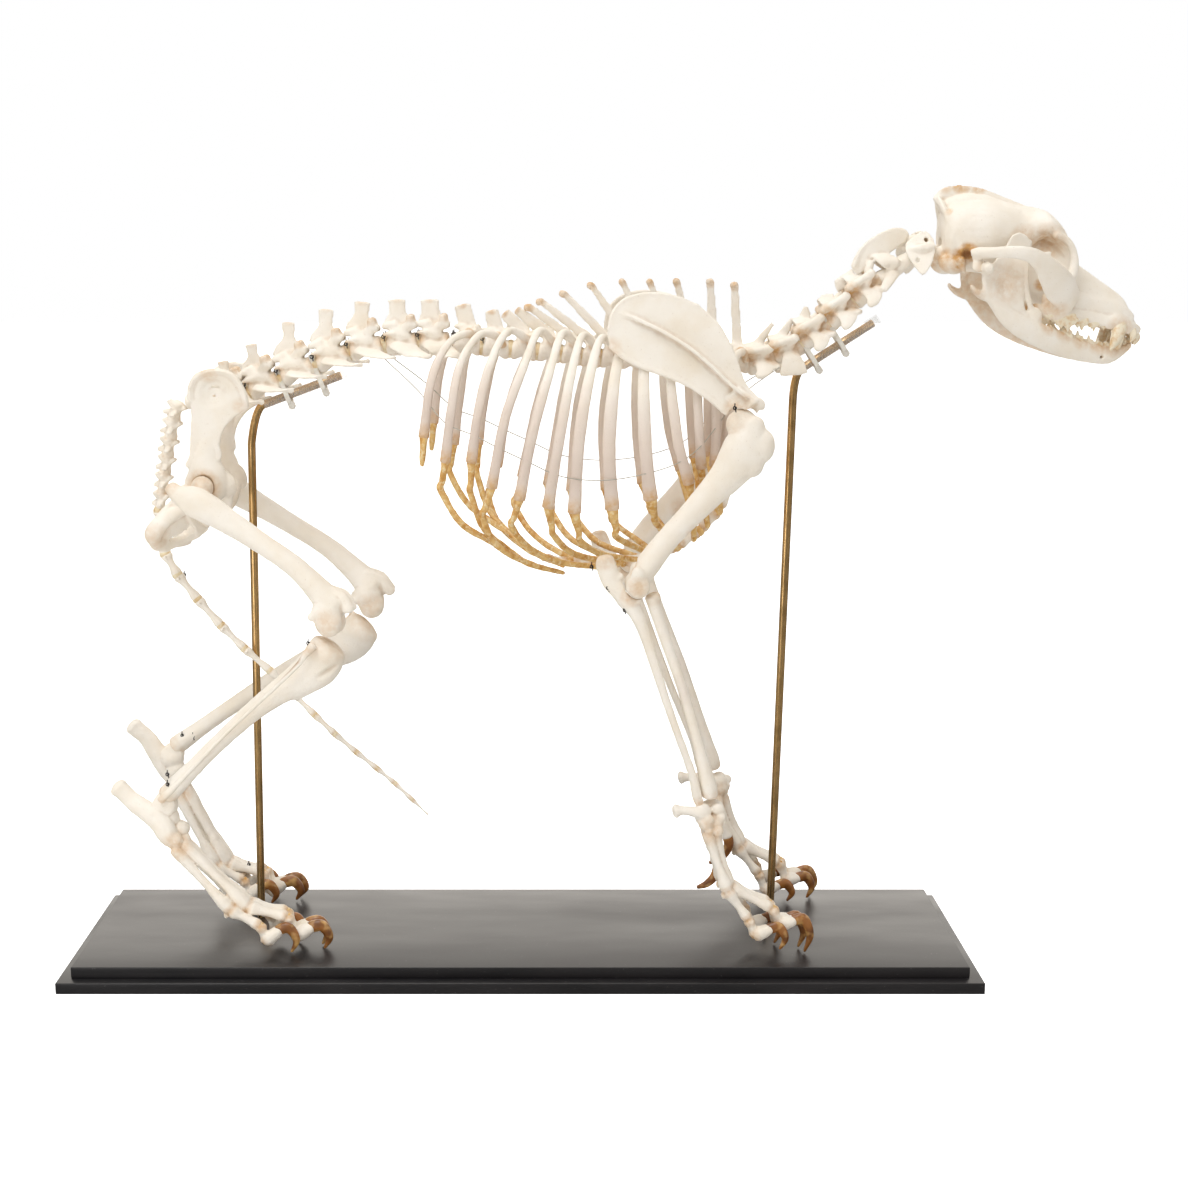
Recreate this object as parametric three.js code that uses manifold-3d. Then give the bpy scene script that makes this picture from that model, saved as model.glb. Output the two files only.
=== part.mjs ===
// Mounted skeleton of a large dog, standing on a black stepped baseboard and held by two brass rods.
// Millimetres. +X is towards the head, +Y towards the dog's left side, +Z up.
// The origin is the centre of the underside of the baseboard.
// Every place on the skeleton is written [x, y, z] with y measured from the dog's own middle plane.

import * as THREE from "three";
import { mergeVertices } from "three/addons/utils/BufferGeometryUtils.js";
import Module from "manifold-3d";

const wasm = await Module();
wasm.setup();

// Baseboard, rods and fittings
const PLINTH = [800, 212, 10];
const BOARD = [778, 190, 10];
const DECK = PLINTH[2] + BOARD[2];
const ROD_RADIUS = 3.5;
const ROD_DEPTH = 8;
const SLEEVE_RADIUS = 5;
const SLEEVE_PAST_ROD = 6;
const TIE_WIDTH = 4;
const TIE_THICKNESS = 1.2;
const GAP = 0.4;

// The dog's middle plane lies a little behind the board's own centre line.
const MIDLINE = 8;
const SIDES = { right: -1, left: 1 };

// Vertebral column, head to tail: centre of each body [x, z] and tip of its spine [x, z].
const ATLAS = [345, 627];
const AXIS = [320, 612];
const NECK = [
  { body: [297, 595], tip: [271, 598] },
  { body: [276, 576], tip: [258, 588] },
  { body: [254, 558], tip: [246, 581] },
  { body: [231, 542], tip: [235, 571] },
  { body: [208, 534], tip: [218, 567] },
];
const THORAX = [
  { body: [188, 533], tip: [184, 601] },
  { body: [168, 534], tip: [163, 604] },
  { body: [149, 534], tip: [134, 604] },
  { body: [130, 535], tip: [111, 604] },
  { body: [113, 535], tip: [87, 604] },
  { body: [96, 536], tip: [60, 601] },
  { body: [78, 537], tip: [36, 594] },
  { body: [61, 538], tip: [16, 587] },
  { body: [44, 540], tip: [6, 582] },
  { body: [25, 542], tip: [-4, 579] },
  { body: [3, 544], tip: [-14, 576] },
  { body: [-21, 546], tip: [-25, 578] },
  { body: [-46, 549], tip: [-50, 583] },
];
const LOIN = [
  { body: [-74, 551], tip: [-78, 588] },
  { body: [-102, 550], tip: [-106, 588] },
  { body: [-133, 546], tip: [-136, 586] },
  { body: [-162, 537], tip: [-167, 580] },
  { body: [-193, 526], tip: [-200, 569] },
  { body: [-222, 514], tip: [-233, 550] },
  { body: [-248, 504], tip: [-258, 535] },
];
const SACRUM = { front: [-263, 501], rear: [-291, 499] };
const TAIL = [
  [-297, 498], [-302, 484], [-305, 468], [-308, 452], [-311, 437], [-314, 421], [-317, 404],
  [-318, 386], [-314, 366], [-304, 347], [-287, 325], [-267, 301], [-247, 280], [-225, 260],
  [-205, 239], [-186, 219], [-168, 201], [-149, 184], [-131, 169], [-115, 155], [-100, 140], [-84, 124],
];

const TAIL_SWAY = -3;

// Ribs of one side, first to last: arch over the top, shoulder, middle, lower end, then the cartilage.
const RIBS = [
  { body: 0, bone: [[183, 26, 538], [180, 34, 512], [177, 31, 480], [177, 24, 455]],
    cartilage: [[181, 16, 438], [184, 8.5, 421]], wide: 4.5 },
  { body: 1, bone: [[163, 28, 544], [166, 39, 515], [167, 38, 480], [167, 31, 447]],
    cartilage: [[171, 20, 426], [175, 8.5, 406]], wide: 4.2 },
  { body: 2, bone: [[146, 29, 548], [149, 44, 520], [152, 46, 478], [155, 37, 446]],
    cartilage: [[159, 24, 417], [164, 8.5, 391]], wide: 4 },
  { body: 3, bone: [[127, 29, 550], [127, 48, 520], [134, 55, 468], [144, 46, 434]],
    cartilage: [[150, 28, 405], [152, 8.5, 379]], wide: 4.5 },
  { body: 4, bone: [[108, 29, 552], [104, 54, 520], [106, 63, 462], [111, 54, 421]],
    cartilage: [[117, 37, 398], [138, 8.5, 371]], wide: 5.5 },
  { body: 5, bone: [[89, 29, 553], [80, 56, 524], [75, 71, 470], [78, 62, 414]],
    cartilage: [[84, 44, 386], [120, 8.5, 364]], wide: 5.5 },
  { body: 6, bone: [[69, 30, 555], [59, 59, 526], [50, 78, 476], [46, 69, 412]],
    cartilage: [[52, 54, 385], [70, 30, 370], [104, 8.5, 361]], wide: 5 },
  { body: 7, bone: [[53, 30, 557], [43, 62, 526], [33, 82, 472], [24, 73, 417]],
    cartilage: [[29, 60, 391], [47, 36, 371], [87, 8.5, 358]], wide: 4.4 },
  { body: 8, bone: [[36, 30, 559], [25, 64, 528], [12, 83, 482], [0, 75, 424]],
    cartilage: [[-7, 66, 400], [8, 46, 378], [35, 24, 362], [68, 8.5, 355]], wide: 4.2 },
  { body: 9, bone: [[16, 30, 561], [4, 62, 534], [-12, 82, 490], [-23, 75, 434]],
    cartilage: [[-31, 68, 408], [-20, 54, 382], [8, 33, 362], [38, 17, 351]], wide: 4 },
  { body: 10, bone: [[-10, 30, 561], [-24, 58, 536], [-34, 76, 496], [-40, 72, 455]],
    cartilage: [[-41, 67, 428], [-30, 57, 396], [-6, 40, 372]], wide: 3.9 },
  { body: 11, bone: [[-34, 30, 558], [-49, 54, 536], [-56, 73, 500], [-62, 69, 455]],
    cartilage: [[-66, 64, 430], [-50, 60, 402], [-26, 50, 385]], wide: 3.8 },
  { body: 12, bone: [[-57, 30, 554], [-68, 47, 538], [-75, 62, 514], [-80, 63, 475]],
    cartilage: [[-82, 61, 451]], wide: 3.8 },
];
const FALSE_RIBS = [9, 10, 11];
const STERNUM = [
  [20, 362], [44, 358], [66, 357], [90, 358], [114, 363], [138, 372], [158, 386], [174, 404], [189, 436],
];

// Limb joints of each side
const FORE = {
  right: { shoulder: [191, -60, 485], elbow: [100, -63, 349], wrist: [164, -64, 160], palm: [165, -64, 134],
    ball: [182, -66, 81] },
  left: { shoulder: [191, 60, 485], elbow: [100, 63, 349], wrist: [179, 65, 147], palm: [184, 65, 125],
    ball: [207, 66, 74] },
};
const HIND = {
  right: { hip: [-271, -44, 430], knee: [-157, -62, 319], ankle: [-312, -60, 160], heel: [-352, -60, 168],
    instep: [-300, -60, 118], ball: [-241, -59, 60] },
  left: { hip: [-271, 44, 430], knee: [-134, 62, 311], ankle: [-330, 61, 170], heel: [-366, 61, 190],
    instep: [-323, 61, 132], ball: [-280, 60, 57] },
};
const FEMUR_HEAD = 10;

// Finishes
const FINISH = {
  bone: { color: 0xf1e9da, roughness: 0.6, metalness: 0 },
  black: { color: 0x1c1b1d, roughness: 0.35, metalness: 0 },
  brass: { color: 0x9c7a45, roughness: 0.35, metalness: 1 },
  vinyl: { color: 0xdfe4e6, roughness: 0.1, metalness: 0 },
  nylon: { color: 0xe9e6dc, roughness: 0.5, metalness: 0 },
};

const SMALL = { around: 6, rows: 3 };
const ACROSS = new THREE.Vector3(0, 1, 0);
const UP = new THREE.Vector3(0, 0, 1);
const place = ([x, y, z]) => new THREE.Vector3(x, MIDLINE + y, z);
const mirror = (side, [x, y, z]) => [x, SIDES[side] * y, z];
const blend = (from, to, share) => from + (to - from) * share;

// A closed geometry as a solid: corners shared, needle faces dropped, faces turned outwards.
function solidOf(geometry) {
  const bare = new THREE.BufferGeometry();
  bare.setAttribute("position", geometry.getAttribute("position"));
  bare.setIndex(geometry.getIndex());
  const merged = mergeVertices(bare, 1e-3);
  const corners = merged.getIndex().array;
  const faces = [];
  for (let i = 0; i < corners.length; i += 3) {
    const [a, b, c] = corners.slice(i, i + 3);
    if (a !== b && b !== c && c !== a) faces.push(a, b, c);
  }
  const make = (order) => new wasm.Manifold(new wasm.Mesh({
    numProp: 3,
    vertProperties: merged.getAttribute("position").array,
    triVerts: new Uint32Array(order),
  }));
  const made = make(faces);
  return made.volume() > 0 ? made : make(faces.reverse());
}

const join = (...parts) => parts.flat().reduce((whole, part) => whole.add(part));
const cut = (whole, ...tools) => tools.flat().reduce((left, tool) => left.subtract(tool), whole);

// A closed skin over rings; each ring is a centre and two half-axes, and the ends are gently domed.
function skin(rings, sides, dome = 0.35, turn = 0) {
  const last = rings.length - 1;
  const shape = new THREE.CylinderGeometry(1, 1, last, sides, last, false, turn);
  const corners = shape.getAttribute("position");
  const corner = new THREE.Vector3();
  for (let i = 0; i < corners.count; i++) {
    corner.fromBufferAttribute(corners, i);
    const index = Math.round(last / 2 - corner.y);
    const ring = rings[index];
    const spot = ring.centre.clone().addScaledVector(ring.u, corner.x).addScaledVector(ring.w, corner.z);
    if (Math.hypot(corner.x, corner.z) < 0.5) {
      const inner = rings[index === 0 ? 1 : last - 1];
      const out = ring.centre.clone().sub(inner.centre).normalize();
      spot.addScaledVector(out, dome * Math.min(ring.u.length(), ring.w.length()));
    }
    corners.setXYZ(i, spot.x, spot.y, spot.z);
  }
  return solidOf(shape);
}

// A tapering rod of bone through stations [x, y, z, half width across, half depth].
function shaft(stations, { sides = 6, across = ACROSS, dome, turn, grow = 0 } = {}) {
  const centres = stations.map(place);
  const rings = stations.map((station, i) => {
    const ahead = centres[Math.min(i + 1, centres.length - 1)];
    const behind = centres[Math.max(i - 1, 0)];
    const along = ahead.clone().sub(behind).normalize();
    const u = across.clone().addScaledVector(along, -across.dot(along)).normalize();
    const w = along.clone().cross(u);
    const [, , , wide, deep = wide] = station;
    return { centre: centres[i], u: u.multiplyScalar(wide + grow), w: w.multiplyScalar(deep + grow) };
  });
  return skin(rings, sides, dome, turn);
}

// A rounded lump at a place, with its three half-sizes.
function lump(at, size, { around = 7, rows = 4, grow = 0 } = {}) {
  const [rx, ry, rz] = size.map((half) => half + grow);
  const shape = new THREE.SphereGeometry(1, around, rows).rotateX(Math.PI / 2).scale(rx, ry, rz);
  const centre = place(at);
  return solidOf(shape.translate(centre.x, centre.y, centre.z));
}

// A plate cut to an outline of [x, z] points; lie(x, z) gives how far its middle stands from the middle plane.
function plate(outline, thickness, lie) {
  const shape = new THREE.Shape(outline.map(([x, z]) => new THREE.Vector2(x, z)));
  const slab = new THREE.ExtrudeGeometry(shape, { depth: thickness, bevelEnabled: false });
  const corners = slab.getAttribute("position");
  for (let i = 0; i < corners.count; i++) {
    const [x, z, depth] = [corners.getX(i), corners.getY(i), corners.getZ(i)];
    corners.setXYZ(i, x, MIDLINE + lie(x, z) + depth - thickness / 2, z);
  }
  return solidOf(slab);
}

// Axes of a long bone: s runs from one joint to the next as a share of its length, f is forwards, o outwards.
function boneAxes(side, from, to) {
  const along = new THREE.Vector3(...to).sub(new THREE.Vector3(...from));
  const length = along.length();
  along.normalize();
  const out = ACROSS.clone().multiplyScalar(SIDES[side]);
  const front = out.clone().cross(along).normalize();
  if (front.x < 0) front.negate();
  out.addScaledVector(along, -out.dot(along)).normalize();
  const at = (s, f = 0, o = 0) => new THREE.Vector3(...from)
    .addScaledVector(along, s * length).addScaledVector(front, f).addScaledVector(out, o).toArray();
  const stations = (list) => list.map(([s, f, o, ...size]) => [...at(s, f, o), ...size]);
  return { at, stations, out };
}

// Baseboard
function rodFoot(rod) {
  return shaft([[...rod.foot.slice(0, 2), PLINTH[2] - 1, rod.bore], [...rod.foot.slice(0, 2), DECK + 1, rod.bore]],
    { sides: 8, dome: 0 });
}
function makePlinth() {
  return solidOf(new THREE.BoxGeometry(...PLINTH).translate(0, 0, PLINTH[2] / 2));
}
function makeBoard() {
  const slab = solidOf(new THREE.BoxGeometry(...BOARD).translate(0, 0, PLINTH[2] + BOARD[2] / 2));
  return cut(slab, Object.values(RODS).map(rodFoot));
}

// Brass rods: up from the deck, round a bend and along under the vertebrae.
const RODS = {
  rear: { foot: [-243, 16, DECK - ROD_DEPTH], top: [-235, 0, 470], bend: [-231, 0, 494], tip: [-156, 0, 522],
    sleeve: 0.11, ties: [0.385, 0.785], lift: 16.3, bore: ROD_RADIUS + GAP + 0.3 },
  front: { foot: [230, 16, DECK - ROD_DEPTH], top: [237, 0, 508], bend: [237.5, 0, 524], tip: [304, 0, 567],
    sleeve: 0.11, ties: [0.245, 0.585], lift: 20, bore: ROD_RADIUS + GAP + 0.3 },
};
function rodPath(rod) {
  const bend = new THREE.QuadraticBezierCurve3(
    new THREE.Vector3(...rod.top), new THREE.Vector3(...rod.bend), new THREE.Vector3(...rodRun(rod, 0.1)));
  return [rod.foot, ...bend.getPoints(3).map((point) => point.toArray()), rod.tip];
}
function rodRun(rod, share) {
  return rod.bend.map((value, i) => blend(value, rod.tip[i], share));
}
function makeRod(rod) {
  return shaft(rodPath(rod).map((point) => [...point, ROD_RADIUS]), { sides: 8, dome: 0 });
}
function makeSleeve(rod) {
  const length = new THREE.Vector3(...rod.tip).distanceTo(new THREE.Vector3(...rod.bend));
  const past = 1 + SLEEVE_PAST_ROD / length;
  const tube = (from, to, radius) => shaft(
    [[...rodRun(rod, from), radius], [...rodRun(rod, to), radius]], { sides: 8, dome: 0 });
  return cut(tube(rod.sleeve, past, SLEEVE_RADIUS), tube(rod.sleeve - 0.05, past + 0.05, ROD_RADIUS + GAP));
}
// A cable tie: a strap round the sleeve and the disc above it, with its square head hanging below.
function makeTie(rod, share, grow = 0) {
  const [x, y, z] = rodRun(rod, share);
  const slope = Math.atan2(rod.tip[2] - rod.bend[2], rod.tip[0] - rod.bend[0]);
  const ring = (half, below, above) => [[half, -below], [half, above], [-half, above], [-half, -below]].map(
    ([y, z]) => new THREE.Vector2(y, z));
  const below = SLEEVE_RADIUS + GAP;
  const above = rod.lift + 10;
  const half = 10.6;
  const thick = TIE_THICKNESS + grow;
  const strap = new THREE.Shape(ring(half + thick, below + thick, above + thick));
  strap.holes.push(new THREE.Path(ring(half - grow, below - grow, above - grow)));
  const band = new THREE.ExtrudeGeometry(strap, { depth: TIE_WIDTH + 2 * grow, bevelEnabled: false });
  const head = new THREE.BoxGeometry(7, 7, 6).translate(0, -below - 3.6, TIE_WIDTH / 2 + grow);
  const settle = new THREE.Matrix4()
    .makeTranslation(x, MIDLINE + y, z)
    .multiply(new THREE.Matrix4().makeRotationY(-slope))
    .multiply(new THREE.Matrix4().makeBasis(ACROSS, UP, new THREE.Vector3(1, 0, 0)))
    .multiply(new THREE.Matrix4().makeTranslation(0, 0, -TIE_WIDTH / 2 - grow));
  const pieces = grow ? [band] : [band, head];
  return join(pieces.map((piece) => solidOf(piece.applyMatrix4(settle))));
}

// Vertebrae: places in a vertebra are [along towards the head, across, up] from the centre of its body.
function vertebraAxes(body, ahead, behind) {
  const run = Math.hypot(ahead[0] - behind[0], ahead[1] - behind[1]);
  const [tx, tz] = [(ahead[0] - behind[0]) / run, (ahead[1] - behind[1]) / run];
  const at = (l, y, h) => [body[0] + tx * l - tz * h, y, body[1] + tz * l + tx * h];
  return { at, along: new THREE.Vector3(tx, 0, tz) };
}
function columnOf(list) {
  return list.map((vertebra, i) => {
    const ahead = list[Math.max(i - 1, 0)].body;
    const behind = list[Math.min(i + 1, list.length - 1)].body;
    const spacing = Math.hypot(ahead[0] - behind[0], ahead[1] - behind[1]) / (i === 0 || i === list.length - 1 ? 1 : 2);
    return { ...vertebra, spacing, ...vertebraAxes(vertebra.body, ahead, behind) };
  });
}
// The bodies and the discs between them as one rod, from the face of the first body to that of the last.
function bodies(column, wide, deep) {
  const [first, last] = [column[0], column.at(-1)];
  const centres = [first.at(0.4 * first.spacing, 0, 0), last.at(-0.4 * last.spacing, 0, 0)];
  centres.splice(1, 0, ...column.slice(1, -1).map(({ at }) => at(0, 0, 0)));
  return shaft(centres.map((centre) => [...centre, wide, deep]), { sides: 4, dome: 0.05, turn: Math.PI / 4 });
}
// The arch and its spine in one: broad over the canal, where its edges are the upper side processes,
// then a thin plate up to the tip.
function spine({ at, tip, spacing }, { root, reach, thin, tipChord }) {
  const top = [tip[0], 0, tip[1]];
  const chord = 0.4 * spacing;
  const between = at(0, 0, root + 3).map((value, i) => blend(value, top[i], 0.3));
  return shaft([
    [...at(0, 0, 5), reach * 0.55, chord], [...at(0, 0, root), reach, chord * 0.8],
    [...between, thin, chord * 0.8], [...top, thin, tipChord],
  ], { sides: 4, dome: 0.3 });
}
// A pair of side processes as one bar through the arch, swept forwards or back.
function wings({ at }, { reach, height, forward, drop, chord, thin }) {
  return shaft([
    [...at(forward, -reach, height - drop), chord * 0.5, thin], [...at(0, 0, height), chord, thin * 1.8],
    [...at(forward, reach, height - drop), chord * 0.5, thin],
  ], { sides: 4, dome: 0.1, across: new THREE.Vector3(1, 0, 0) });
}

function makeAtlas(grow = 0) {
  const { at } = vertebraAxes(ATLAS, ATLAS, AXIS);
  const ring = shaft([[...at(7, 0, 3), 16, 13], [...at(-9, 0, 3), 15, 12]], { sides: 8, dome: 0, grow });
  const wing = shaft([
    [...at(-6, -38, -8), 10, 1.8], [...at(-3, -24, -2), 15, 2.2], [...at(-1, -10, 2), 11, 4],
    [...at(-1, 10, 2), 11, 4], [...at(-3, 24, -2), 15, 2.2], [...at(-6, 38, -8), 10, 1.8],
  ], { sides: 4, dome: 0.3, across: new THREE.Vector3(1, 0, 0.4) });
  const canal = shaft([[...at(14, 0, 5), 8], [...at(-14, 0, 5), 8]], { sides: 6, dome: 0 });
  return cut(join(ring, wing), canal);
}
function makeAxis() {
  const { at } = vertebraAxes(AXIS, ATLAS, NECK[0].body);
  const body = shaft([[...at(15, 0, 2), 9, 7], [...at(4, 0, 0), 10, 8], [...at(-12, 0, 0), 9.5, 8.5]], { dome: 0.1 });
  const arch = shaft([[...at(6, 0, 12), 9, 8], [...at(-14, 0, 12), 12, 8]], { dome: 0.1 });
  const blade = plate([[337, 630], [333, 644], [320, 643], [304, 634], [284, 618], [287, 613], [302, 615],
    [322, 618]], 4, () => 0);
  const sides = wings({ at }, { reach: 22, height: -2, forward: -16, drop: 4, chord: 6, thin: 2.2 });
  return cut(join(body, arch, blade, sides), makeAtlas(GAP));
}
function makeNeck() {
  const column = columnOf(NECK);
  const parts = column.map((vertebra, i) => {
    const arch = spine(vertebra, { root: 12, reach: 15, thin: 2, tipChord: 2.5 });
    const low = i === 3;
    const side = wings(vertebra, { reach: low ? 18 : 22, height: low ? -4 : -1, forward: low ? -4 : 4,
      drop: low ? 14 : 7, chord: low ? 12 : 7, thin: 2.2 });
    return join(arch, side);
  });
  return join(bodies(column, 11, 10), parts);
}
function makeThorax() {
  const column = columnOf(THORAX);
  const parts = column.map((vertebra, i) => {
    const late = i > 9;
    return spine(vertebra, { root: 15, reach: 15, thin: 2.4, tipChord: late ? 6 : 4 });
  });
  return join(bodies(column, 11, 10), parts);
}
function makeLoin() {
  const column = columnOf(LOIN);
  const parts = column.map((vertebra, i) => {
    const blade = spine(vertebra, { root: 17, reach: 13, thin: 2.4, tipChord: 8 - i * 0.5 });
    const side = wings(vertebra, { reach: 20 + 3 * Math.min(i, 7 - i), height: -2, forward: 14, drop: 6,
      chord: 6, thin: 1.6 });
    return join(blade, side);
  });
  return join(bodies(column, 12, 10), parts);
}
function makeSacrum(grow = 0) {
  const { front, rear } = SACRUM;
  const mass = shaft([[front[0], 0, front[1] + 2, 24, 10], [-274, 0, 501, 20, 9], [rear[0], 0, rear[1], 11, 7]],
    { sides: 8, dome: 0.1, grow });
  const crest = plate([[-264, 505], [-266, 524], [-275, 520], [-279, 522], [-288, 514], [-289, 504]], 4, () => 0);
  return join(mass, crest);
}
// Tail: knobs at the joints and waists between them; the first knobs are wide, for their side processes.
function makeTail() {
  const last = TAIL.length - 1;
  const stations = TAIL.flatMap(([x, z], i) => {
    const thick = blend(7, 1.6, Math.sqrt(i / last));
    const knob = [x, TAIL_SWAY, z, i > 0 && i < 7 ? 13 - i : thick, thick];
    if (i === last) return [knob];
    const [nx, nz] = TAIL[i + 1];
    return [knob, [(x + nx) / 2, TAIL_SWAY, (z + nz) / 2, thick * 0.55]];
  });
  return shaft(stations, { sides: 4, turn: Math.PI / 4 });
}

// Ribs with their costal cartilages
function ribPath(number, side) {
  const rib = RIBS[number];
  const vertebra = columnOf(THORAX)[rib.body];
  const head = vertebra.at(6, 10.2, 3);
  const neck = vertebra.at(0, 19, 10);
  const bone = [head, neck, ...rib.bone].map((point) => mirror(side, point));
  const curve = new THREE.CatmullRomCurve3(bone.map((point) => new THREE.Vector3(...point)), false, "centripetal");
  const shares = [0, 0.13, 0.3, 0.52, 0.99];
  const sizes = [[2.6, 2.6], [2.6, 2.6], [2.8, rib.wide], [3, rib.wide], [3.8, rib.wide + 1]];
  const stations = shares.map((share, i) => [...curve.getPointAt(share).toArray(), ...sizes[i]]);
  rib.cartilage.forEach((point, i) => stations.push([...mirror(side, point), i ? 2.4 : 2.8, i ? 2.6 : 3.2]));
  return stations;
}
const makeRib = (number, side) => shaft(ribPath(number, side), { sides: 4, dome: 0.2 });
function makeFalseRibs(side) {
  const ribs = FALSE_RIBS.map((number) => ribPath(number, side));
  const [tenth, eleventh, twelfth] = ribs;
  eleventh.push([...tenth.at(-2).slice(0, 3), 2, 2]);
  twelfth.push([...eleventh.at(-2).slice(0, 3), 2, 2]);
  return join(ribs.map((rib) => shaft(rib, { sides: 4, dome: 0.2 })));
}
function makeSternum() {
  const stations = STERNUM.flatMap(([x, z], i) => {
    const half = i < 1 ? 3.2 : 6;
    if (i === STERNUM.length - 1) return [[x, 0, z, 4, 4]];
    const [nx, nz] = STERNUM[i + 1];
    return [[x, 0, z, half, half + 0.5], [(x + nx) / 2, 0, (z + nz) / 2, half - 1.4, half - 1]];
  });
  return shaft(stations, { sides: 4, turn: Math.PI / 4 });
}

// Skull: rings from the back of the braincase to the nose, as top [x, z], bottom [x, z] and half width.
function makeCranium() {
  const rings = [
    [[357, 662], [360, 616], 17], [[370, 670], [372, 612], 27], [[395, 672], [396, 607], 31],
    [[417, 667], [416, 600], 26], [[436, 665], [432, 588], 20], [[453, 658], [446, 575], 27],
    [[468, 645], [458, 570], 29], [[478, 624], [470, 569], 25], [[492, 608], [484, 569], 21],
    [[508, 595], [498, 568], 18], [[522, 585], [510, 563], 17], [[527, 572], [520, 560], 15], [[533, 562], [528, 556], 11],
  ].map(([top, bottom, half]) => ({
    centre: place([(top[0] + bottom[0]) / 2, 0, (top[1] + bottom[1]) / 2]),
    u: new THREE.Vector3(0, half, 0),
    w: new THREE.Vector3((top[0] - bottom[0]) / 2, 0, (top[1] - bottom[1]) / 2),
  }));
  const vault = skin(rings, 8, 0.1);
  const crest = plate([[355, 672], [362, 678], [377, 683], [396, 681], [414, 672], [430, 667], [425, 655], [360, 650]],
    4, () => 0);
  const nuchal = shaft([[368, -24, 632, 3, 4], [358, 0, 670, 3, 4], [368, 24, 632, 3, 4]], { sides: 4 });
  const arches = ["right", "left"].map((side) => shaft([
    [382, 30, 624, 6, 4], [381, 45, 628, 4, 6], [411, 56, 632, 2.8, 6], [433, 52, 625, 3, 7.5],
    [452, 38, 611, 4, 9], [459, 25, 602, 6, 10],
  ].map(([x, y, z, ...size]) => [...mirror(side, [x, y, z]), ...size]), { sides: 4 }));
  const paired = ["right", "left"].flatMap((side) => [
    lump(mirror(side, [362, 10, 624]), [8, 6, 7], SMALL),
    lump(mirror(side, [450, 22, 646]), [9, 9, 6], SMALL),
    shaft([[508, 12, 573, 4.5], [506, 18, 556, 4.2], [505, 20, 544, 1.2]].map(
      ([x, y, z, ...size]) => [...mirror(side, [x, y, z]), ...size]), { sides: 5 }),
  ]);
  const incisors = shaft([[531, -10, 554, 3, 6], [535, 0, 553, 3, 7], [531, 10, 554, 3, 6]],
    { sides: 4, across: new THREE.Vector3(1, 0, 0) });
  const orbits = ["right", "left"].map((side) => lump(mirror(side, [447, 39, 621]), [22, 19, 20]));
  const nostrils = lump([530, 0, 577], [9, 9, 9], SMALL);
  const bowl = cut(vault, orbits, nostrils);
  return join(bowl, crest, nuchal, arches, paired, incisors);
}
function makeMandible() {
  const spread = (side) => (x) => {
    const half = x < 430 ? blend(41, 32, (x - 378) / 52) : x < 480 ? blend(32, 16, (x - 430) / 50) : blend(16, 5, (x - 480) / 42);
    return SIDES[side] * half;
  };
  const halves = ["right", "left"].map((side) => plate([
    [376, 601], [379, 593], [390, 588], [404, 573], [418, 558], [448, 544], [484, 534], [505, 532], [518, 540],
    [527, 548], [495, 550], [483, 556], [448, 567], [428, 569],
    [424, 610], [427, 634], [420, 643], [411, 641], [403, 622], [393, 614], [387, 599],
  ], 6, spread(side)));
  const condyles = ["right", "left"].map((side) => lump(mirror(side, [391, 42, 614]), [5, 9, 5], SMALL));
  const chin = shaft([[488, 0, 541, 13, 5], [505, 0, 541, 12, 7], [524, 0, 549, 8, 4]]);
  const fangs = ["right", "left"].map((side) => shaft([[512, 9, 546, 4], [514, 14, 560, 1.3]].map(
    ([x, y, z, ...size]) => [...mirror(side, [x, y, z]), ...size]), { sides: 5 }));
  return join(halves, condyles, chin, fangs);
}

// Shoulder blade: a flat blade with a standing ridge and a cup for the humerus.
function makeScapula(side) {
  const lie = (x, z) => SIDES[side] * (47 + (592 - z) * 0.12);
  const blade = plate([
    [73, 569], [86, 588], [106, 594], [148, 585], [172, 563], [190, 516], [203, 508], [202, 497], [178, 481],
    [168, 488], [158, 504], [132, 520], [80, 540], [73, 552],
  ], 3.4, lie);
  const ridge = shaft([[84, 48, 578, 2, 1.6], [119, 56, 563, 8, 1.6], [180, 66, 516, 11, 1.8], [188, 68, 511, 6, 2]].map(([x, y, z, ...size]) => [...mirror(side, [x, y, z]), ...size]), { sides: 4 });
  const cup = shaft([[176, 58, 514, 6, 8], [190, 60, 497, 9, 13]].map(
    ([x, y, z, ...size]) => [...mirror(side, [x, y, z]), ...size]), { sides: 6, dome: 0 });
  return cut(join(blade, ridge, cup), humerusHead(side, GAP));
}
function humerusHead(side, grow = 0) {
  const { shoulder, elbow } = FORE[side];
  const { at } = boneAxes(side, shoulder, elbow);
  return [lump(at(0.01, -4, 0), [14, 12, 14], { grow }), lump(at(0.06, 24, 5), [12, 10, 14], { ...SMALL, grow })];
}
function makeHumerus(side, grow = 0) {
  const { shoulder, elbow } = FORE[side];
  const { at, stations, out } = boneAxes(side, shoulder, elbow);
  const body = shaft(stations([
    [-0.03, 2, 2, 13, 12], [0.1, 10, 3, 13, 20], [0.28, 10, 4, 10, 15], [0.5, 4, 4, 8, 10], [0.72, -3, 3, 8, 8.5],
    [0.88, -3, 1, 11, 9], [1.0, 0, 0, 15, 10],
  ]), { across: out, sides: 6, grow });
  const drum = shaft([[...at(1, 0, -15), 11], [...at(1, 0, 15), 11]], { sides: 8, dome: 0, across: UP, grow });
  return join(body, humerusHead(side, grow), drum);
}
function makeRadius(side, grow = 0) {
  const { elbow, wrist } = FORE[side];
  const { stations, out } = boneAxes(side, elbow, wrist);
  const body = shaft(stations([
    [0.06, 9, 0, 10, 7], [0.15, 7, 1, 7, 5.5], [0.45, 8, 1, 6.5, 5], [0.75, 6, 1, 7.5, 5.5], [0.93, 3, 0, 11, 8], [1, 1, 0, 11, 8],
  ]), { across: out, grow });
  return grow ? body : cut(body, makeHumerus(side, GAP));
}
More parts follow.
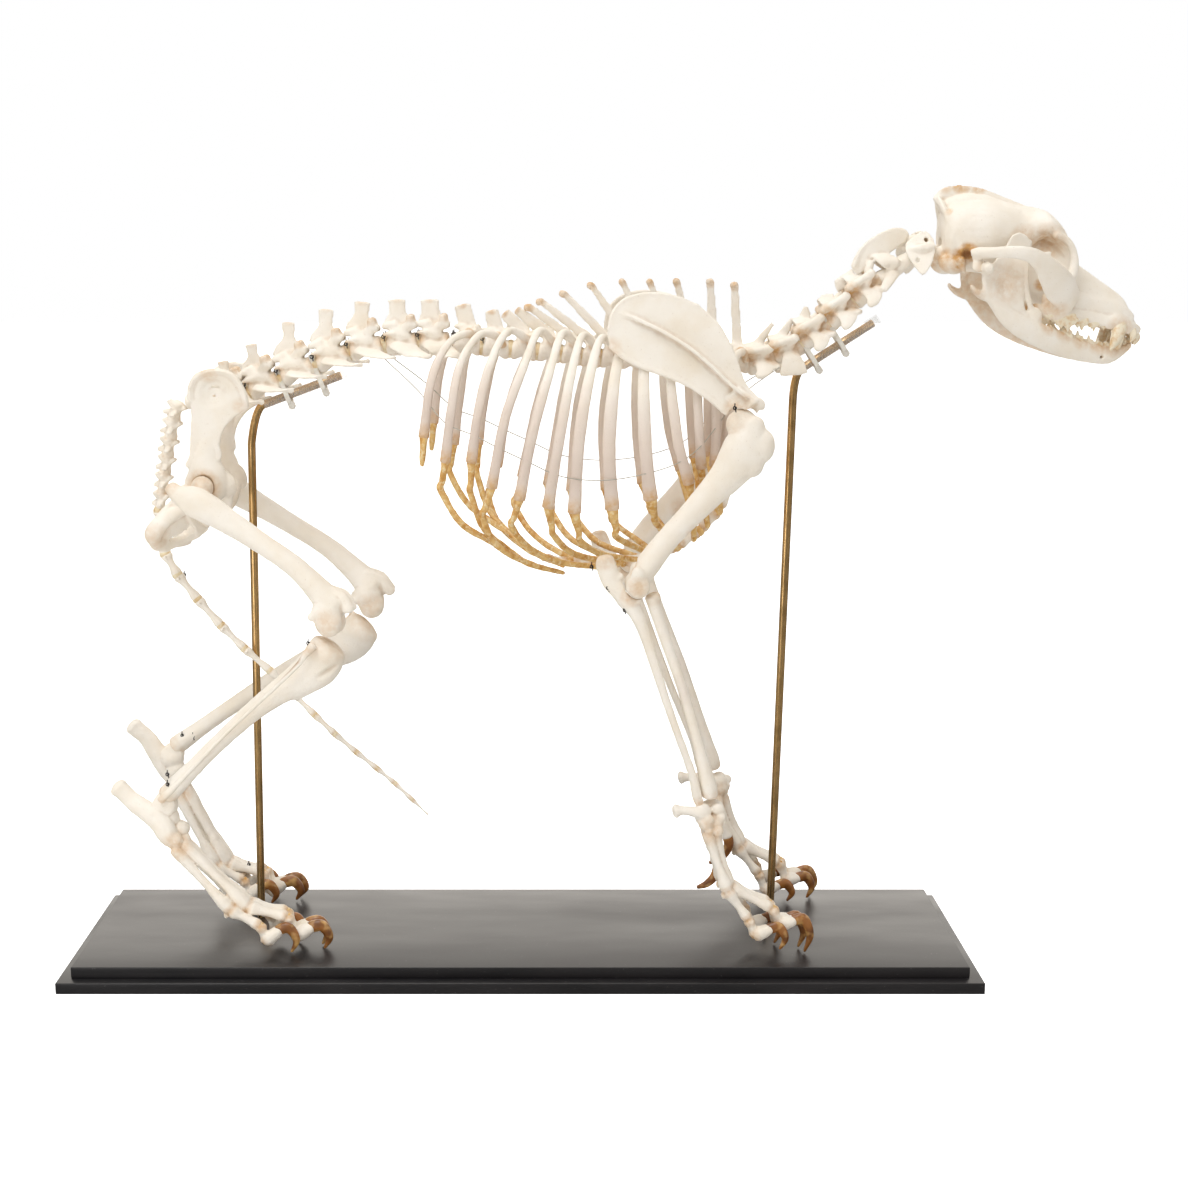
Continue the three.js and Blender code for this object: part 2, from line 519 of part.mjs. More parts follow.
function makeUlna(side, grow = 0) {
  const { elbow, wrist } = FORE[side];
  const { stations, out } = boneAxes(side, elbow, wrist);
  const body = shaft(stations([
    [-0.16, -18, 0, 5, 8], [-0.08, -20, 0, 5, 9], [0.02, -15, 1, 6, 10], [0.12, -8, 3, 6, 7], [0.4, -8, 6, 4, 5],
    [0.75, -7, 7, 4, 4], [0.96, -9, 7, 4.5, 4.5], [1.01, -9, 6, 4.5, 4.5],
  ]), { across: out, grow });
  return grow ? body : cut(body, makeHumerus(side, GAP), makeRadius(side, GAP));
}

// Paws: a block of wrist or ankle bones, then one run of bone, knuckles and claw for each toe.
function makeToes(side, top, ball, toes) {
  return toes.map(({ fan, spread, back, knuckle, pad, curl, claw, thick }) => {
    const at = ([x, y, z]) => [x, SIDES[side] * y, z];
    const [bx, by, bz] = [ball[0] - back, Math.abs(ball[1]) + spread, ball[2]];
    const start = [top[0], Math.abs(top[1]) + fan, top[2]];
    const toe = (forward, drop) => [bx + forward, by + spread * 0.12, bz - drop];
    const stations = [
      [...at(start), thick * 0.9], [...at([bx, by, bz]), thick + 1.6], [...at(toe(...knuckle)), thick + 1.2],
      [...at(toe(...pad)), thick + 1.4], [...at(toe(...curl)), thick + 0.8], [...at(toe(...claw)), 1.2],
    ];
    return shaft(stations, { sides: 4, dome: 0.3, turn: Math.PI / 4 });
  });
}
function makeForepaw(side) {
  const { wrist, palm, ball } = FORE[side];
  const at = (base, x, y, z) => [base[0] + x, base[1] + SIDES[side] * y, base[2] + z];
  const clawTip = ball[2] - DECK - 1.8;
  const toes = [
    { fan: 7.5, spread: 13, back: 2, knuckle: [19, 26], pad: [25, 40], curl: [41, 34], claw: [52, clawTip - 6], thick: 3.4 },
    { fan: 2.5, spread: 5, back: 0, knuckle: [39, 19], pad: [46, 34], curl: [60, 30], claw: [74, clawTip], thick: 3.6 },
    { fan: -2.5, spread: -5, back: 0, knuckle: [37, 18], pad: [44, 35], curl: [57, 32], claw: [70, clawTip], thick: 3.6 },
    { fan: -7.5, spread: -13, back: 4, knuckle: [20, 25], pad: [27, 42], curl: [42, 36], claw: [53, clawTip], thick: 3.4 },
  ];
  const wristBones = shaft([[...at(wrist, -1, 0, -8), 12, 9], [...at(palm, 0, 0, 8), 13, 9], [...at(palm, 1, 0, -6), 11, 7]],
    { sides: 6 });
  const heel = shaft([[...at(wrist, -4, 6, -12), 4, 4], [...at(wrist, -22, 6, -9), 3.6, 3.6], [...at(wrist, -31, 6, -10), 5, 6]],
    { sides: 4 });
  const dewclaw = shaft([[...at(palm, 2, -9, -6), 3, 3.5], [...at(palm, 4, -20, -18), 3.5, 4], [...at(palm, 9, -20, -38), 4, 5],
    [...at(palm, 2, -20, -52), 2.6, 3], [...at(palm, -9, -20, -62), 1.2, 1.2]], { sides: 4 });
  const paw = join(wristBones, heel, dewclaw, makeToes(side, at(palm, 0, 0, 0), ball, toes));
  return cut(paw, makeRadius(side, GAP), makeUlna(side, GAP));
}
function makeHindpaw(side) {
  const { ankle, heel, instep, ball } = HIND[side];
  const at = (base, x, y, z) => [base[0] + x, base[1] + SIDES[side] * y, base[2] + z];
  const clawTip = ball[2] - DECK - 1.8;
  const toes = [
    { fan: 7.5, spread: 12, back: 14, knuckle: [26, 14], pad: [31, 28], curl: [46, 17], claw: [57, clawTip], thick: 3.4 },
    { fan: 2.5, spread: 4.5, back: 0, knuckle: [35, 9], pad: [42, 26], curl: [60, 18], claw: [72, clawTip], thick: 3.8 },
    { fan: -2.5, spread: -4.5, back: 0, knuckle: [33, 8], pad: [40, 27], curl: [57, 18], claw: [69, clawTip], thick: 3.8 },
    { fan: -7.5, spread: -12, back: 10, knuckle: [26, 13], pad: [31, 28], curl: [45, 18], claw: [56, clawTip], thick: 3.4 },
  ];
  const heelBone = shaft([[...heel, 7, 7], [...at(heel, 14, 0, -12), 5.5, 7], [...at(instep, -6, 4, 8), 8, 8]],
    { sides: 4, turn: Math.PI / 4 });
  const ankleBones = shaft([[...at(ankle, 2, -2, -10), 10, 8], [...at(instep, -2, -1, 16), 12, 9], [...at(instep, 3, 0, -4), 11, 7]],
    { sides: 6 });
  const paw = join(heelBone, ankleBones, makeToes(side, instep, ball, toes));
  return cut(paw, makeTibia(side, GAP));
}

function makeFemur(side, grow = 0) {
  const { hip, knee } = HIND[side];
  const { at, stations, out } = boneAxes(side, hip, knee);
  const body = shaft(stations([
    [-0.1, -15, 20, 6, 7], [0.03, -11, 18, 9, 11], [0.2, -4, 12, 9, 9.5], [0.6, 8, 7, 8, 8.5],
    [0.82, 8, 3, 11, 11], [0.95, 6, 0, 15, 15],
  ]), { across: out, sides: 6, grow });
  const condyles = [-9, 9].map((o) => lump(at(1.0, -4, o), [12, 8, 15], { ...SMALL, grow }));
  const groove = lump(at(0.98, 17, 0), [10, 9, 12], { ...SMALL, grow });
  return join(body, femurNeck(side, grow), condyles, groove);
}
function femurNeck(side, grow = 0) {
  const { hip, knee } = HIND[side];
  const { at } = boneAxes(side, hip, knee);
  const neck = shaft([[...hip, 8, 8], [...at(0.04, -8, 14), 8, 11]], { sides: 6, across: UP, grow });
  return join(neck, lump(hip, [FEMUR_HEAD, FEMUR_HEAD, FEMUR_HEAD], { grow }));
}
function makeTibia(side, grow = 0) {
  const { knee, ankle } = HIND[side];
  const { stations, out } = boneAxes(side, knee, ankle);
  const body = shaft(stations([
    [0.1, 14, 0, 17, 18], [0.16, 18, 0, 14, 21], [0.23, 16, 0, 10, 19], [0.32, 11, 0, 8, 14], [0.45, 5, 0, 7, 8.5],
    [0.7, 1, 0, 6.5, 6.5], [0.92, 1, 0, 9, 7], [0.99, 1, 0, 10, 8],
  ]), { across: out, sides: 8, grow });
  const fibula = shaft(stations([[0.12, 0, 16, 4, 5], [0.2, 2, 16, 2, 2.4], [0.6, 0, 10, 1.8, 2], [0.94, 0, 9, 3, 3.4],
    [1.01, 0, 9, 3.4, 4]]), { across: out, sides: 4, grow });
  const whole = join(body, fibula);
  return grow ? whole : cut(whole, makeFemur(side, GAP));
}

// Pelvis: on each side an upright wing, a cup, and a ring round an opening behind it.
function makePelvis() {
  const halves = ["right", "left"].map((side) => {
    const lie = (x, z) => SIDES[side] * (z > 455 ? blend(34, 47, (z - 455) / 75) : blend(20, 34, Math.max(0, z - 390) / 65));
    const wing = plate([[-288, 440], [-284, 465], [-284, 505], [-275, 519], [-262, 529], [-250, 529],
      [-232, 503], [-249, 480], [-252, 440]], 5, lie);
    const cup = shaft([[-264, 26, 452, 7, 13], [-271, 32, 436, 11, 19], [-276, 32, 418, 9, 16]].map(
      ([x, y, z, ...size]) => [...mirror(side, [x, y, z]), ...size]), { sides: 6 });
    const rear = shaft([[-278, 34, 420, 6, 9], [-300, 40, 408, 6, 7], [-315, 44, 392, 8, 8], [-313, 34, 378, 7, 7],
      [-298, 10, 378, 5, 6], [-297, 0, 379, 4, 6]].map(
      ([x, y, z, ...size]) => [...mirror(side, [x, y, z]), ...size]), { sides: 4 });
    const front = shaft([[-258, 28, 430, 6, 8], [-256, 14, 414, 5, 8], [-272, 0, 398, 4, 8]].map(
      ([x, y, z, ...size]) => [...mirror(side, [x, y, z]), ...size]), { sides: 4 });
    return join(wing, cup, rear, front);
  });
  const seam = shaft([[-268, 0, 402, 4, 7], [-300, 0, 377, 4, 6]], { sides: 4 });
  return cut(join(halves, seam), ["right", "left"].map((side) => femurNeck(side, GAP)), makeSacrum(GAP));
}

// A solid as a named mesh of one finish
const skeleton = new THREE.Group();
skeleton.name = "dog_skeleton";
function add(name, made, finish = "bone") {
  const { vertProperties, triVerts } = made.getMesh();
  const geometry = new THREE.BufferGeometry();
  geometry.setAttribute("position", new THREE.BufferAttribute(vertProperties, 3));
  geometry.setIndex(new THREE.BufferAttribute(triVerts, 1));
  geometry.computeVertexNormals();
  const mesh = new THREE.Mesh(geometry, new THREE.MeshStandardMaterial({ ...FINISH[finish], flatShading: true }));
  mesh.name = name;
  skeleton.add(mesh);
}

add("plinth", makePlinth(), "black");
add("board", makeBoard(), "black");
for (const [name, rod] of Object.entries(RODS)) {
  add(`${name}_rod`, makeRod(rod), "brass");
  add(`${name}_sleeve`, makeSleeve(rod), "vinyl");
  rod.ties.forEach((share, i) => add(`${name}_tie_${i + 1}`, makeTie(rod, share), "nylon"));
}
add("cranium", makeCranium());
add("mandible", makeMandible());
add("atlas", makeAtlas());
add("axis", makeAxis());
add("neck_vertebrae", makeNeck());
add("thoracic_vertebrae", makeThorax());
add("lumbar_vertebrae", makeLoin());
add("sacrum", makeSacrum());
add("tail_vertebrae", makeTail());
add("pelvis", makePelvis());
add("sternum", makeSternum());
for (const side of Object.keys(SIDES)) {
  for (let number = 0; number < FALSE_RIBS[0]; number++) add(`rib_${number + 1}_${side}`, makeRib(number, side));
  add(`false_ribs_${side}`, makeFalseRibs(side));
  add(`rib_13_${side}`, makeRib(12, side));
  add(`scapula_${side}`, makeScapula(side));
  add(`humerus_${side}`, makeHumerus(side));
  add(`radius_${side}`, makeRadius(side));
  add(`ulna_${side}`, makeUlna(side));
  add(`forepaw_${side}`, makeForepaw(side));
  add(`femur_${side}`, makeFemur(side));
  add(`tibia_${side}`, makeTibia(side));
  add(`hindpaw_${side}`, makeHindpaw(side));
}

export default skeleton;
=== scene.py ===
"""Mounted skeleton of a large dog on a black stepped baseboard, held by two brass rods.

Places are millimetres [x, y, z]: x towards the head, y outwards from the dog's middle plane, z up from the
underside of the board. Every finished mesh is in metres, in the frame of the solids.
"""

import logging
import math
from collections.abc import Callable
from dataclasses import dataclass, field
from enum import Enum

import bmesh
import bpy
import numpy as np
from mathutils import Matrix, Vector


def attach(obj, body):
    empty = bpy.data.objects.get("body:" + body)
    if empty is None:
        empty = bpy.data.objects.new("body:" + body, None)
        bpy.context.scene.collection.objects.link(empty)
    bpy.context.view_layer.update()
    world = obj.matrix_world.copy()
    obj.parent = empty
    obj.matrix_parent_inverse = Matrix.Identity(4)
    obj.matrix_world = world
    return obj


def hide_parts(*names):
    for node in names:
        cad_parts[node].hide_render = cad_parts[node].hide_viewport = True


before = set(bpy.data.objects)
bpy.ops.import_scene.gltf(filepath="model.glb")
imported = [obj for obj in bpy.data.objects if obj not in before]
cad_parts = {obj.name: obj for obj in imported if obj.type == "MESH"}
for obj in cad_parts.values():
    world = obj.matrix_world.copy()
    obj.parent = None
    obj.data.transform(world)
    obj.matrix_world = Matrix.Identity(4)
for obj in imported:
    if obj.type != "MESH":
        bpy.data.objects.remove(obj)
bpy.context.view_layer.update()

LOG = logging.getLogger("dog_skeleton")

MM = 0.001
MIDLINE = 8.0
BODY = "root"
ACROSS = Vector((0.0, 1.0, 0.0))
FORWARD = Vector((1.0, 0.0, 0.0))
UP = Vector((0.0, 0.0, 1.0))

# The least half-size, the rings that round an end off (share outwards, share of the size), and a ball's cuts
THINNEST = 0.25
CAP_RINGS = ((0.55, 0.84), (0.9, 0.5), (1.0, 0.18))
BALL_CUTS = (20, 12)

# How hollows are found for their painted shade and how deep a full one is, the grain of the unevenness, and
# the angle of a sharp edge
SETTLING_ROUNDS = 7
HOLLOW_DEPTH = 0.9
UNEVENNESS = 9.0
RIB_UNEVENNESS = 10.0
CREASE = math.radians(40)

# The floor, in metres
FLOOR_WIDTH = 30.0
FLOOR_DROP = 0.0002

Point = tuple[float, ...]
Station = tuple[float, ...]
Tree = bpy.types.NodeTree
Socket = bpy.types.NodeSocket
Material = bpy.types.Material
Piece = bpy.types.Object


class Side(Enum):
    """Right is the near side in the picture, left the far one."""

    RIGHT = -1
    LEFT = 1

    @property
    def label(self) -> str:
        """The word that node names end with."""
        return self.name.lower()

    def flip(self, stations: list[Station]) -> list[Station]:
        """Stations drawn for the left side, on this side."""
        return [(x, self.value * y, z, *size) for x, y, z, *size in stations]


def spot(point: Point) -> Vector:
    """A place on the dog, in metres in the frame of the solids."""
    return Vector((point[0], MIDLINE + point[1], point[2])) * MM


def blend(start: Point, end: Point, share: float) -> Point:
    """The point a share of the way from start to end."""
    return tuple(a + (b - a) * share for a, b in zip(start, end))


def linear(code: str) -> tuple[float, float, float, float]:
    """An sRGB hex colour as linear red, green, blue and alpha."""
    parts = [int(code[i:i + 2], 16) / 255 for i in (1, 3, 5)]
    return (*[c / 12.92 if c <= 0.04045 else ((c + 0.055) / 1.055) ** 2.4 for c in parts], 1.0)


def per_mm(size: float) -> float:
    """The scale of a pattern whose features are size millimetres wide, on coordinates in metres."""
    return 1.0 / (size * MM)


# Finishes

def add_node(tree: Tree, kind: str, links: dict | None = None,
        **settings: object) -> bpy.types.Node:
    """Add a node with its settings and input links.

    Args:
        tree: the material's node tree.
        kind: the node's type name.
        links: input name or number to an output socket or a value.
        settings: attributes of the node.

    Returns:
        The new node.
    """
    node = tree.nodes.new(kind)
    for name, value in settings.items():
        setattr(node, name, value)
    for name, value in (links or {}).items():
        if isinstance(value, Socket):
            tree.links.new(value, node.inputs[name])
        else:
            node.inputs[name].default_value = value
    return node


@dataclass(frozen=True)
class Finish:
    """What every finish has: a name, a shader and a few patterns on object coordinates."""

    name: str
    color: str
    roughness: float

    def start(self) -> tuple[Material, Tree, bpy.types.Node, Socket]:
        """Make the material with its shader.

        Returns:
            The material, its tree, the shader and the object coordinates.
        """
        material = bpy.data.materials.new(self.name)
        material.use_nodes = True
        tree = material.node_tree
        tree.nodes.clear()
        shader = add_node(tree, "ShaderNodeBsdfPrincipled")
        shader.inputs["Base Color"].default_value = linear(self.color)
        shader.inputs["Roughness"].default_value = self.roughness
        output = add_node(tree, "ShaderNodeOutputMaterial")
        tree.links.new(shader.outputs["BSDF"], output.inputs["Surface"])
        place = add_node(tree, "ShaderNodeTexCoord")
        return material, tree, shader, place.outputs["Object"]

    def noise(self, tree: Tree, place: Socket, size: float, detail: float = 3.0,
            rough: float = 0.55) -> Socket:
        """A noise whose blotches are size millimetres wide.

        Args:
            tree: the material's node tree.
            place: the object coordinates.
            size: the width of a blotch in millimetres.
            detail: how many finer layers it has.
            rough: how strong those are.

        Returns:
            The noise's value.
        """
        node = add_node(tree, "ShaderNodeTexNoise", {"Vector": place, "Scale": per_mm(size),
            "Detail": detail, "Roughness": rough})
        return node.outputs[0]

    def ramp(self, tree: Tree, value: Socket, low: float, high: float,
            bottom: float = 0.0, top: float = 1.0) -> Socket:
        """A value taken from low..high to bottom..top, held at the ends.

        Args:
            tree: the material's node tree.
            value: what is mapped.
            low, high: where it starts and stops rising.
            bottom, top: what it gives there.

        Returns:
            The mapped value.
        """
        node = add_node(tree, "ShaderNodeMapRange", {"Value": value, "From Min": low, "From Max": high,
            "To Min": bottom, "To Max": top})
        return node.outputs[0]

    def mix(self, tree: Tree, share: Socket, under: object, over: str) -> Socket:
        """One colour laid over another by a share.

        Args:
            tree: the material's node tree.
            share: how much of the upper colour shows.
            under: the lower colour, hex or a socket.
            over: the upper colour in hex.

        Returns:
            The mixed colour.
        """
        first = linear(under) if isinstance(under, str) else under
        node = add_node(tree, "ShaderNodeMix", data_type="RGBA")
        for socket, value in ((node.inputs[0], share), (node.inputs[6], first),
                (node.inputs[7], linear(over))):
            if isinstance(value, Socket):
                tree.links.new(value, socket)
            else:
                socket.default_value = value
        return node.outputs[2]

    def bump(self, tree: Tree, shader: bpy.types.Node, height: Socket,
            depth: float, before: bpy.types.Node | None = None) -> bpy.types.Node:
        """Raise the surface by a pattern, depth in millimetres.

        Args:
            tree: the material's node tree.
            shader: the shader to bump.
            height: the pattern.
            depth: its height in millimetres.
            before: a bump that comes first.

        Returns:
            The bump node.
        """
        node = add_node(tree, "ShaderNodeBump", {"Height": height, "Strength": 1.0, "Distance": depth * MM})
        if before:
            tree.links.new(before.outputs[0], node.inputs["Normal"])
        tree.links.new(node.outputs[0], shader.inputs["Normal"])
        return node


@dataclass(frozen=True)
class DryBone(Finish):
    """Degreased, bleached bone: chalky cream with a warm painted shade in its hollows, tan where glue soaked
    in.
    """

    warm: str = "#EFE3CF"
    # Painted shade: the warm brown laid into the hollows found on the mesh.
    hollow: str = "#B28F66"
    stain: str = "#D2A468"
    deep: str = "#7A451E"
    flush: str = "#D9C6B9"

    def make(self) -> Material:
        """Make the material.

        Returns:
            The material.
        """
        material, tree, shader, place = self.start()
        broad = self.ramp(tree, self.noise(tree, place, 28), 0.38, 0.68, 0.0, 0.55)
        tone = self.mix(tree, broad, self.color, self.warm)
        soft = add_node(tree, "ShaderNodeAttribute", attribute_name="flush").outputs["Fac"]
        tone = self.mix(tree, soft, tone, self.flush)
        # Painted shade: the hollow attribute pulls the tone towards the hollow colour in recesses.
        painted_hollow_shade = add_node(tree, "ShaderNodeAttribute", attribute_name="hollow").outputs["Fac"]
        tone = self.mix(tree, self.ramp(tree, painted_hollow_shade, 0.12, 1.0, 0.0, 0.75), tone, self.hollow)
        soaked = add_node(tree, "ShaderNodeAttribute", attribute_name="stain").outputs["Fac"]
        patch = self.ramp(tree, self.noise(tree, place, 5), 0.3, 0.62)
        uneven = add_node(tree, "ShaderNodeMath", {0: soaked, 1: patch}, operation="MULTIPLY").outputs[0]
        even = add_node(tree, "ShaderNodeMath", {0: soaked, 1: 0.45, 2: uneven},
            operation="MULTIPLY_ADD").outputs[0]
        tone = self.mix(tree, even, tone, self.stain)
        tone = self.mix(tree, self.ramp(tree, soaked, 1.0, 1.6), tone, self.deep)
        speck = self.ramp(tree, self.noise(tree, place, 1.6, 2.0), 0.66, 0.76, 0.0, 0.22)
        tone = self.mix(tree, speck, tone, "#A98D6C")
        tree.links.new(tone, shader.inputs["Base Color"])
        tree.links.new(self.ramp(tree, self.noise(tree, place, 9), 0.3, 0.7, self.roughness - 0.08,
            self.roughness + 0.1), shader.inputs["Roughness"])
        grain = self.bump(tree, shader, self.noise(tree, place, 1.5, 4.0, 0.7), 0.22)
        self.bump(tree, shader, self.noise(tree, place, 7, 3.0), 0.5, grain)
        return material


@dataclass(frozen=True)
class Cartilage(Finish):
    """Dried costal cartilage under glue: translucent amber with a slight gloss, darker where it is thick."""

    dark: str = "#CB913F"
    pale: str = "#F2DFB2"

    def make(self) -> Material:
        """Make the material.

        Returns:
            The material.
        """
        material, tree, shader, place = self.start()
        tone = self.mix(tree, self.ramp(tree, self.noise(tree, place, 7), 0.42, 0.66), self.color, self.dark)
        tone = self.mix(tree, self.ramp(tree, self.noise(tree, place, 4), 0.52, 0.66, 0.0, 0.75), tone,
            self.pale)
        tree.links.new(tone, shader.inputs["Base Color"])
        shader.inputs["Coat Weight"].default_value = 0.25
        shader.inputs["Coat Roughness"].default_value = 0.3
        self.bump(tree, shader, self.noise(tree, place, 2.5, 3.0), 0.5)
        return material


@dataclass(frozen=True)
class Horn(Finish):
    """Claw horn: polished brown keratin, amber at the root and dark along the back, streaked lengthwise."""

    dark: str = "#633A18"
    pale: str = "#CFA364"

    def make(self) -> Material:
        """Make the material.

        Returns:
            The material.
        """
        material, tree, shader, place = self.start()
        tone = self.mix(tree, self.ramp(tree, self.noise(tree, place, 11, 1.5), 0.4, 0.68, 0.0, 0.8),
            self.color, self.dark)
        tone = self.mix(tree, self.ramp(tree, self.noise(tree, place, 9, 1.5), 0.52, 0.7), tone, self.pale)
        tree.links.new(tone, shader.inputs["Base Color"])
        shader.inputs["Coat Weight"].default_value = 0.4
        shader.inputs["Coat Roughness"].default_value = 0.18
        self.bump(tree, shader, self.noise(tree, place, 1.2, 2.0), 0.15)
        return material


@dataclass(frozen=True)
class Enamel(Finish):
    """Tooth enamel: glassy ivory, yellower towards the gum."""

    def make(self) -> Material:
        """Make the material.

        Returns:
            The material.
        """
        material, tree, shader, place = self.start()
        tone = self.mix(tree, self.ramp(tree, self.noise(tree, place, 5), 0.45, 0.7, 0.0, 0.8), self.color,
            "#D8B27A")
        tree.links.new(tone, shader.inputs["Base Color"])
        shader.inputs["Coat Weight"].default_value = 0.3
        shader.inputs["Coat Roughness"].default_value = 0.15
        self.bump(tree, shader, self.noise(tree, place, 1.4, 2.0), 0.12)
        return material


@dataclass(frozen=True)
class SatinBoard(Finish):
    """Black board with a rolled satin finish: a soft grey sheen on top with faint wipe marks and lint."""

    def make(self) -> Material:
        """Make the material.

        Returns:
            The material.
        """
        material, tree, shader, place = self.start()
        stretched = add_node(tree, "ShaderNodeMapping", {"Vector": place, "Scale": (0.25, 1.0, 1.0),
            "Rotation": (0.0, 0.0, 0.6)}).outputs[0]
        wipe = self.noise(tree, stretched, 45, 4.0)
        tone = self.mix(tree, self.ramp(tree, wipe, 0.45, 0.7, 0.0, 0.35), self.color, "#3A3638")
        lint = self.ramp(tree, self.noise(tree, place, 2.2, 1.0), 0.755, 0.77, 0.0, 0.35)
        tone = self.mix(tree, lint, tone, "#7A7678")
        tree.links.new(tone, shader.inputs["Base Color"])
        tree.links.new(self.ramp(tree, wipe, 0.35, 0.7, self.roughness - 0.05, self.roughness + 0.08),
            shader.inputs["Roughness"])
        self.bump(tree, shader, self.noise(tree, place, 1.5, 2.0), 0.04)
        return material


@dataclass(frozen=True)
class DrawnBrass(Finish):
    """Drawn brass rod, handled and a little tarnished: long soft highlights with brown clouding."""

    def make(self) -> Material:
        """Make the material.

        Returns:
            The material.
        """
        material, tree, shader, place = self.start()
        shader.inputs["Metallic"].default_value = 1.0
        tone = self.mix(tree, self.ramp(tree, self.noise(tree, place, 18), 0.42, 0.65, 0.0, 0.4), self.color,
            "#8E6C3A")
        tree.links.new(tone, shader.inputs["Base Color"])
        drawn = add_node(tree, "ShaderNodeMapping", {"Vector": place, "Scale": (1.0, 1.0, 0.03)}).outputs[0]
        fine = self.noise(tree, drawn, 0.8, 2.0)
        tree.links.new(self.ramp(tree, fine, 0.3, 0.7, self.roughness - 0.08, self.roughness + 0.12),
            shader.inputs["Roughness"])
        self.bump(tree, shader, fine, 0.02)
        return material


@dataclass(frozen=True)
class ClearVinyl(Finish):
    """Extruded clear vinyl tube: see-through with white glints and a milky cut end."""

    def make(self) -> Material:
        """Make the material.

        Returns:
            The material.
        """
        material, tree, shader, place = self.start()
        shader.inputs["Alpha"].default_value = 0.14
        milky = self.noise(tree, place, 6, 2.0)
        tree.links.new(self.ramp(tree, milky, 0.35, 0.7, self.roughness, self.roughness + 0.2),
            shader.inputs["Roughness"])
        self.bump(tree, shader, milky, 0.05)
        return material


@dataclass(frozen=True)
class Nylon(Finish):
    """Natural moulded nylon: milky off-white that lets some light through, with a fine mould grain."""

    def make(self) -> Material:
        """Make the material.

        Returns:
            The material.
        """
        material, tree, shader, place = self.start()
        shader.inputs["Transmission Weight"].default_value = 0.1
        cloud = self.ramp(tree, self.noise(tree, place, 3), 0.35, 0.7, 0.0, 0.5)
        tree.links.new(self.mix(tree, cloud, self.color, "#D9D3C4"), shader.inputs["Base Color"])
        self.bump(tree, shader, self.noise(tree, place, 0.8, 2.0), 0.04)
        return material


@dataclass(frozen=True)
class SteelWire(Finish):
    """Annealed steel binding wire: dark grey, slightly oily, with brown specks of rust."""

    def make(self) -> Material:
        """Make the material.

        Returns:
            The material.
        """
        material, tree, shader, place = self.start()
        shader.inputs["Metallic"].default_value = 1.0
        rust = self.ramp(tree, self.noise(tree, place, 1.5), 0.5, 0.7, 0.0, 0.6)
        tree.links.new(self.mix(tree, rust, self.color, "#5B4332"), shader.inputs["Base Color"])
        self.bump(tree, shader, self.noise(tree, place, 0.6, 2.0), 0.03)
        return material


@dataclass(frozen=True)
class PaperFloor(Finish):
    """Matt white paper sweep, with a painted dark grey that shows only in reflections."""

    def make(self) -> Material:
        """Make the material.

        Returns:
            The material.
        """
        material, tree, shader, place = self.start()
        tone = self.mix(tree, self.ramp(tree, self.noise(tree, place, 60), 0.3, 0.7, 0.0, 0.1), self.color,
            "#F4F2EE")
        path = add_node(tree, "ShaderNodeLightPath").outputs
        # Painted reflection: to glossy rays the floor turns dark grey, so the board's edges and the brass
        # rods mirror a darker floor.
        tone = self.mix(tree, path["Is Glossy Ray"], tone, "#8C8C8C")
        tree.links.new(tone, shader.inputs["Base Color"])
        shader.inputs["Emission Color"].default_value = linear("#FFFFFF")
        tree.links.new(path["Is Camera Ray"], shader.inputs["Emission Strength"])
        return material


class Coat:
    """The finishes, each made once."""

    def __init__(self) -> None:
        """Make every material."""
        self.bone = DryBone("Bleached_dry_bone", "#F8F2E8", 0.6).make()
        self.disc = Cartilage("Dried_disc_cartilage", "#EBDCBB", 0.5, dark="#D8B67E", pale="#F3E8CF").make()
        self.cartilage = Cartilage("Glued_amber_cartilage", "#E6C07C", 0.4).make()
        self.horn = Horn("Polished_claw_horn", "#A0672F", 0.35).make()
        self.enamel = Enamel("Ivory_tooth_enamel", "#F1E6CF", 0.28).make()
        self.board = SatinBoard("Rolled_satin_black_board", "#19181A", 0.34).make()
        self.brass = DrawnBrass("Tarnished_drawn_brass", "#E2BA80", 0.26).make()
        self.vinyl = ClearVinyl("Extruded_clear_vinyl", "#F4F7F8", 0.08).make()
        self.nylon = Nylon("Moulded_natural_nylon", "#F6F3EC", 0.42).make()
        self.thread = Nylon("Drawn_nylon_thread", "#B5B0A5", 0.4).make()
        self.wire = SteelWire("Annealed_binding_wire", "#4A4A4C", 0.4).make()
        self.floor = PaperFloor("Matt_white_paper", "#FFFFFF", 0.9).make()


# Modelling

def smooth_run(stations: list[Station], steps: int) -> np.ndarray:
    """Stations with more between them, on a smooth curve through all of them.

    Args:
        stations: rows of place and half-sizes.
        steps: how many pieces each gap is cut into.

    Returns:
        The rows of the finer run.
    """
    rows = np.array([[*s, s[3]] if len(s) == 4 else list(s) for s in stations], float)
    if len(rows) < 3:
        shares = np.linspace(0.0, 1.0, steps + 1)[:, None]
        return rows[0] + (rows[-1] - rows[0]) * shares
    held = np.vstack([2 * rows[0] - rows[1], rows, 2 * rows[-1] - rows[-2]])
    out = []
    for i in range(len(rows) - 1):
        a, b, c, d = held[i:i + 4]
        for t in np.linspace(0.0, 1.0, steps, endpoint=False):
            out.append(0.5 * (2 * b + (c - a) * t + (2 * a - 5 * b + 4 * c - d) * t * t
                + (3 * b - a - 3 * c + d) * t ** 3))
    out.append(rows[-1])
    run = np.array(out)
    run[:, 3:] = np.maximum(run[:, 3:], THINNEST)
    return run


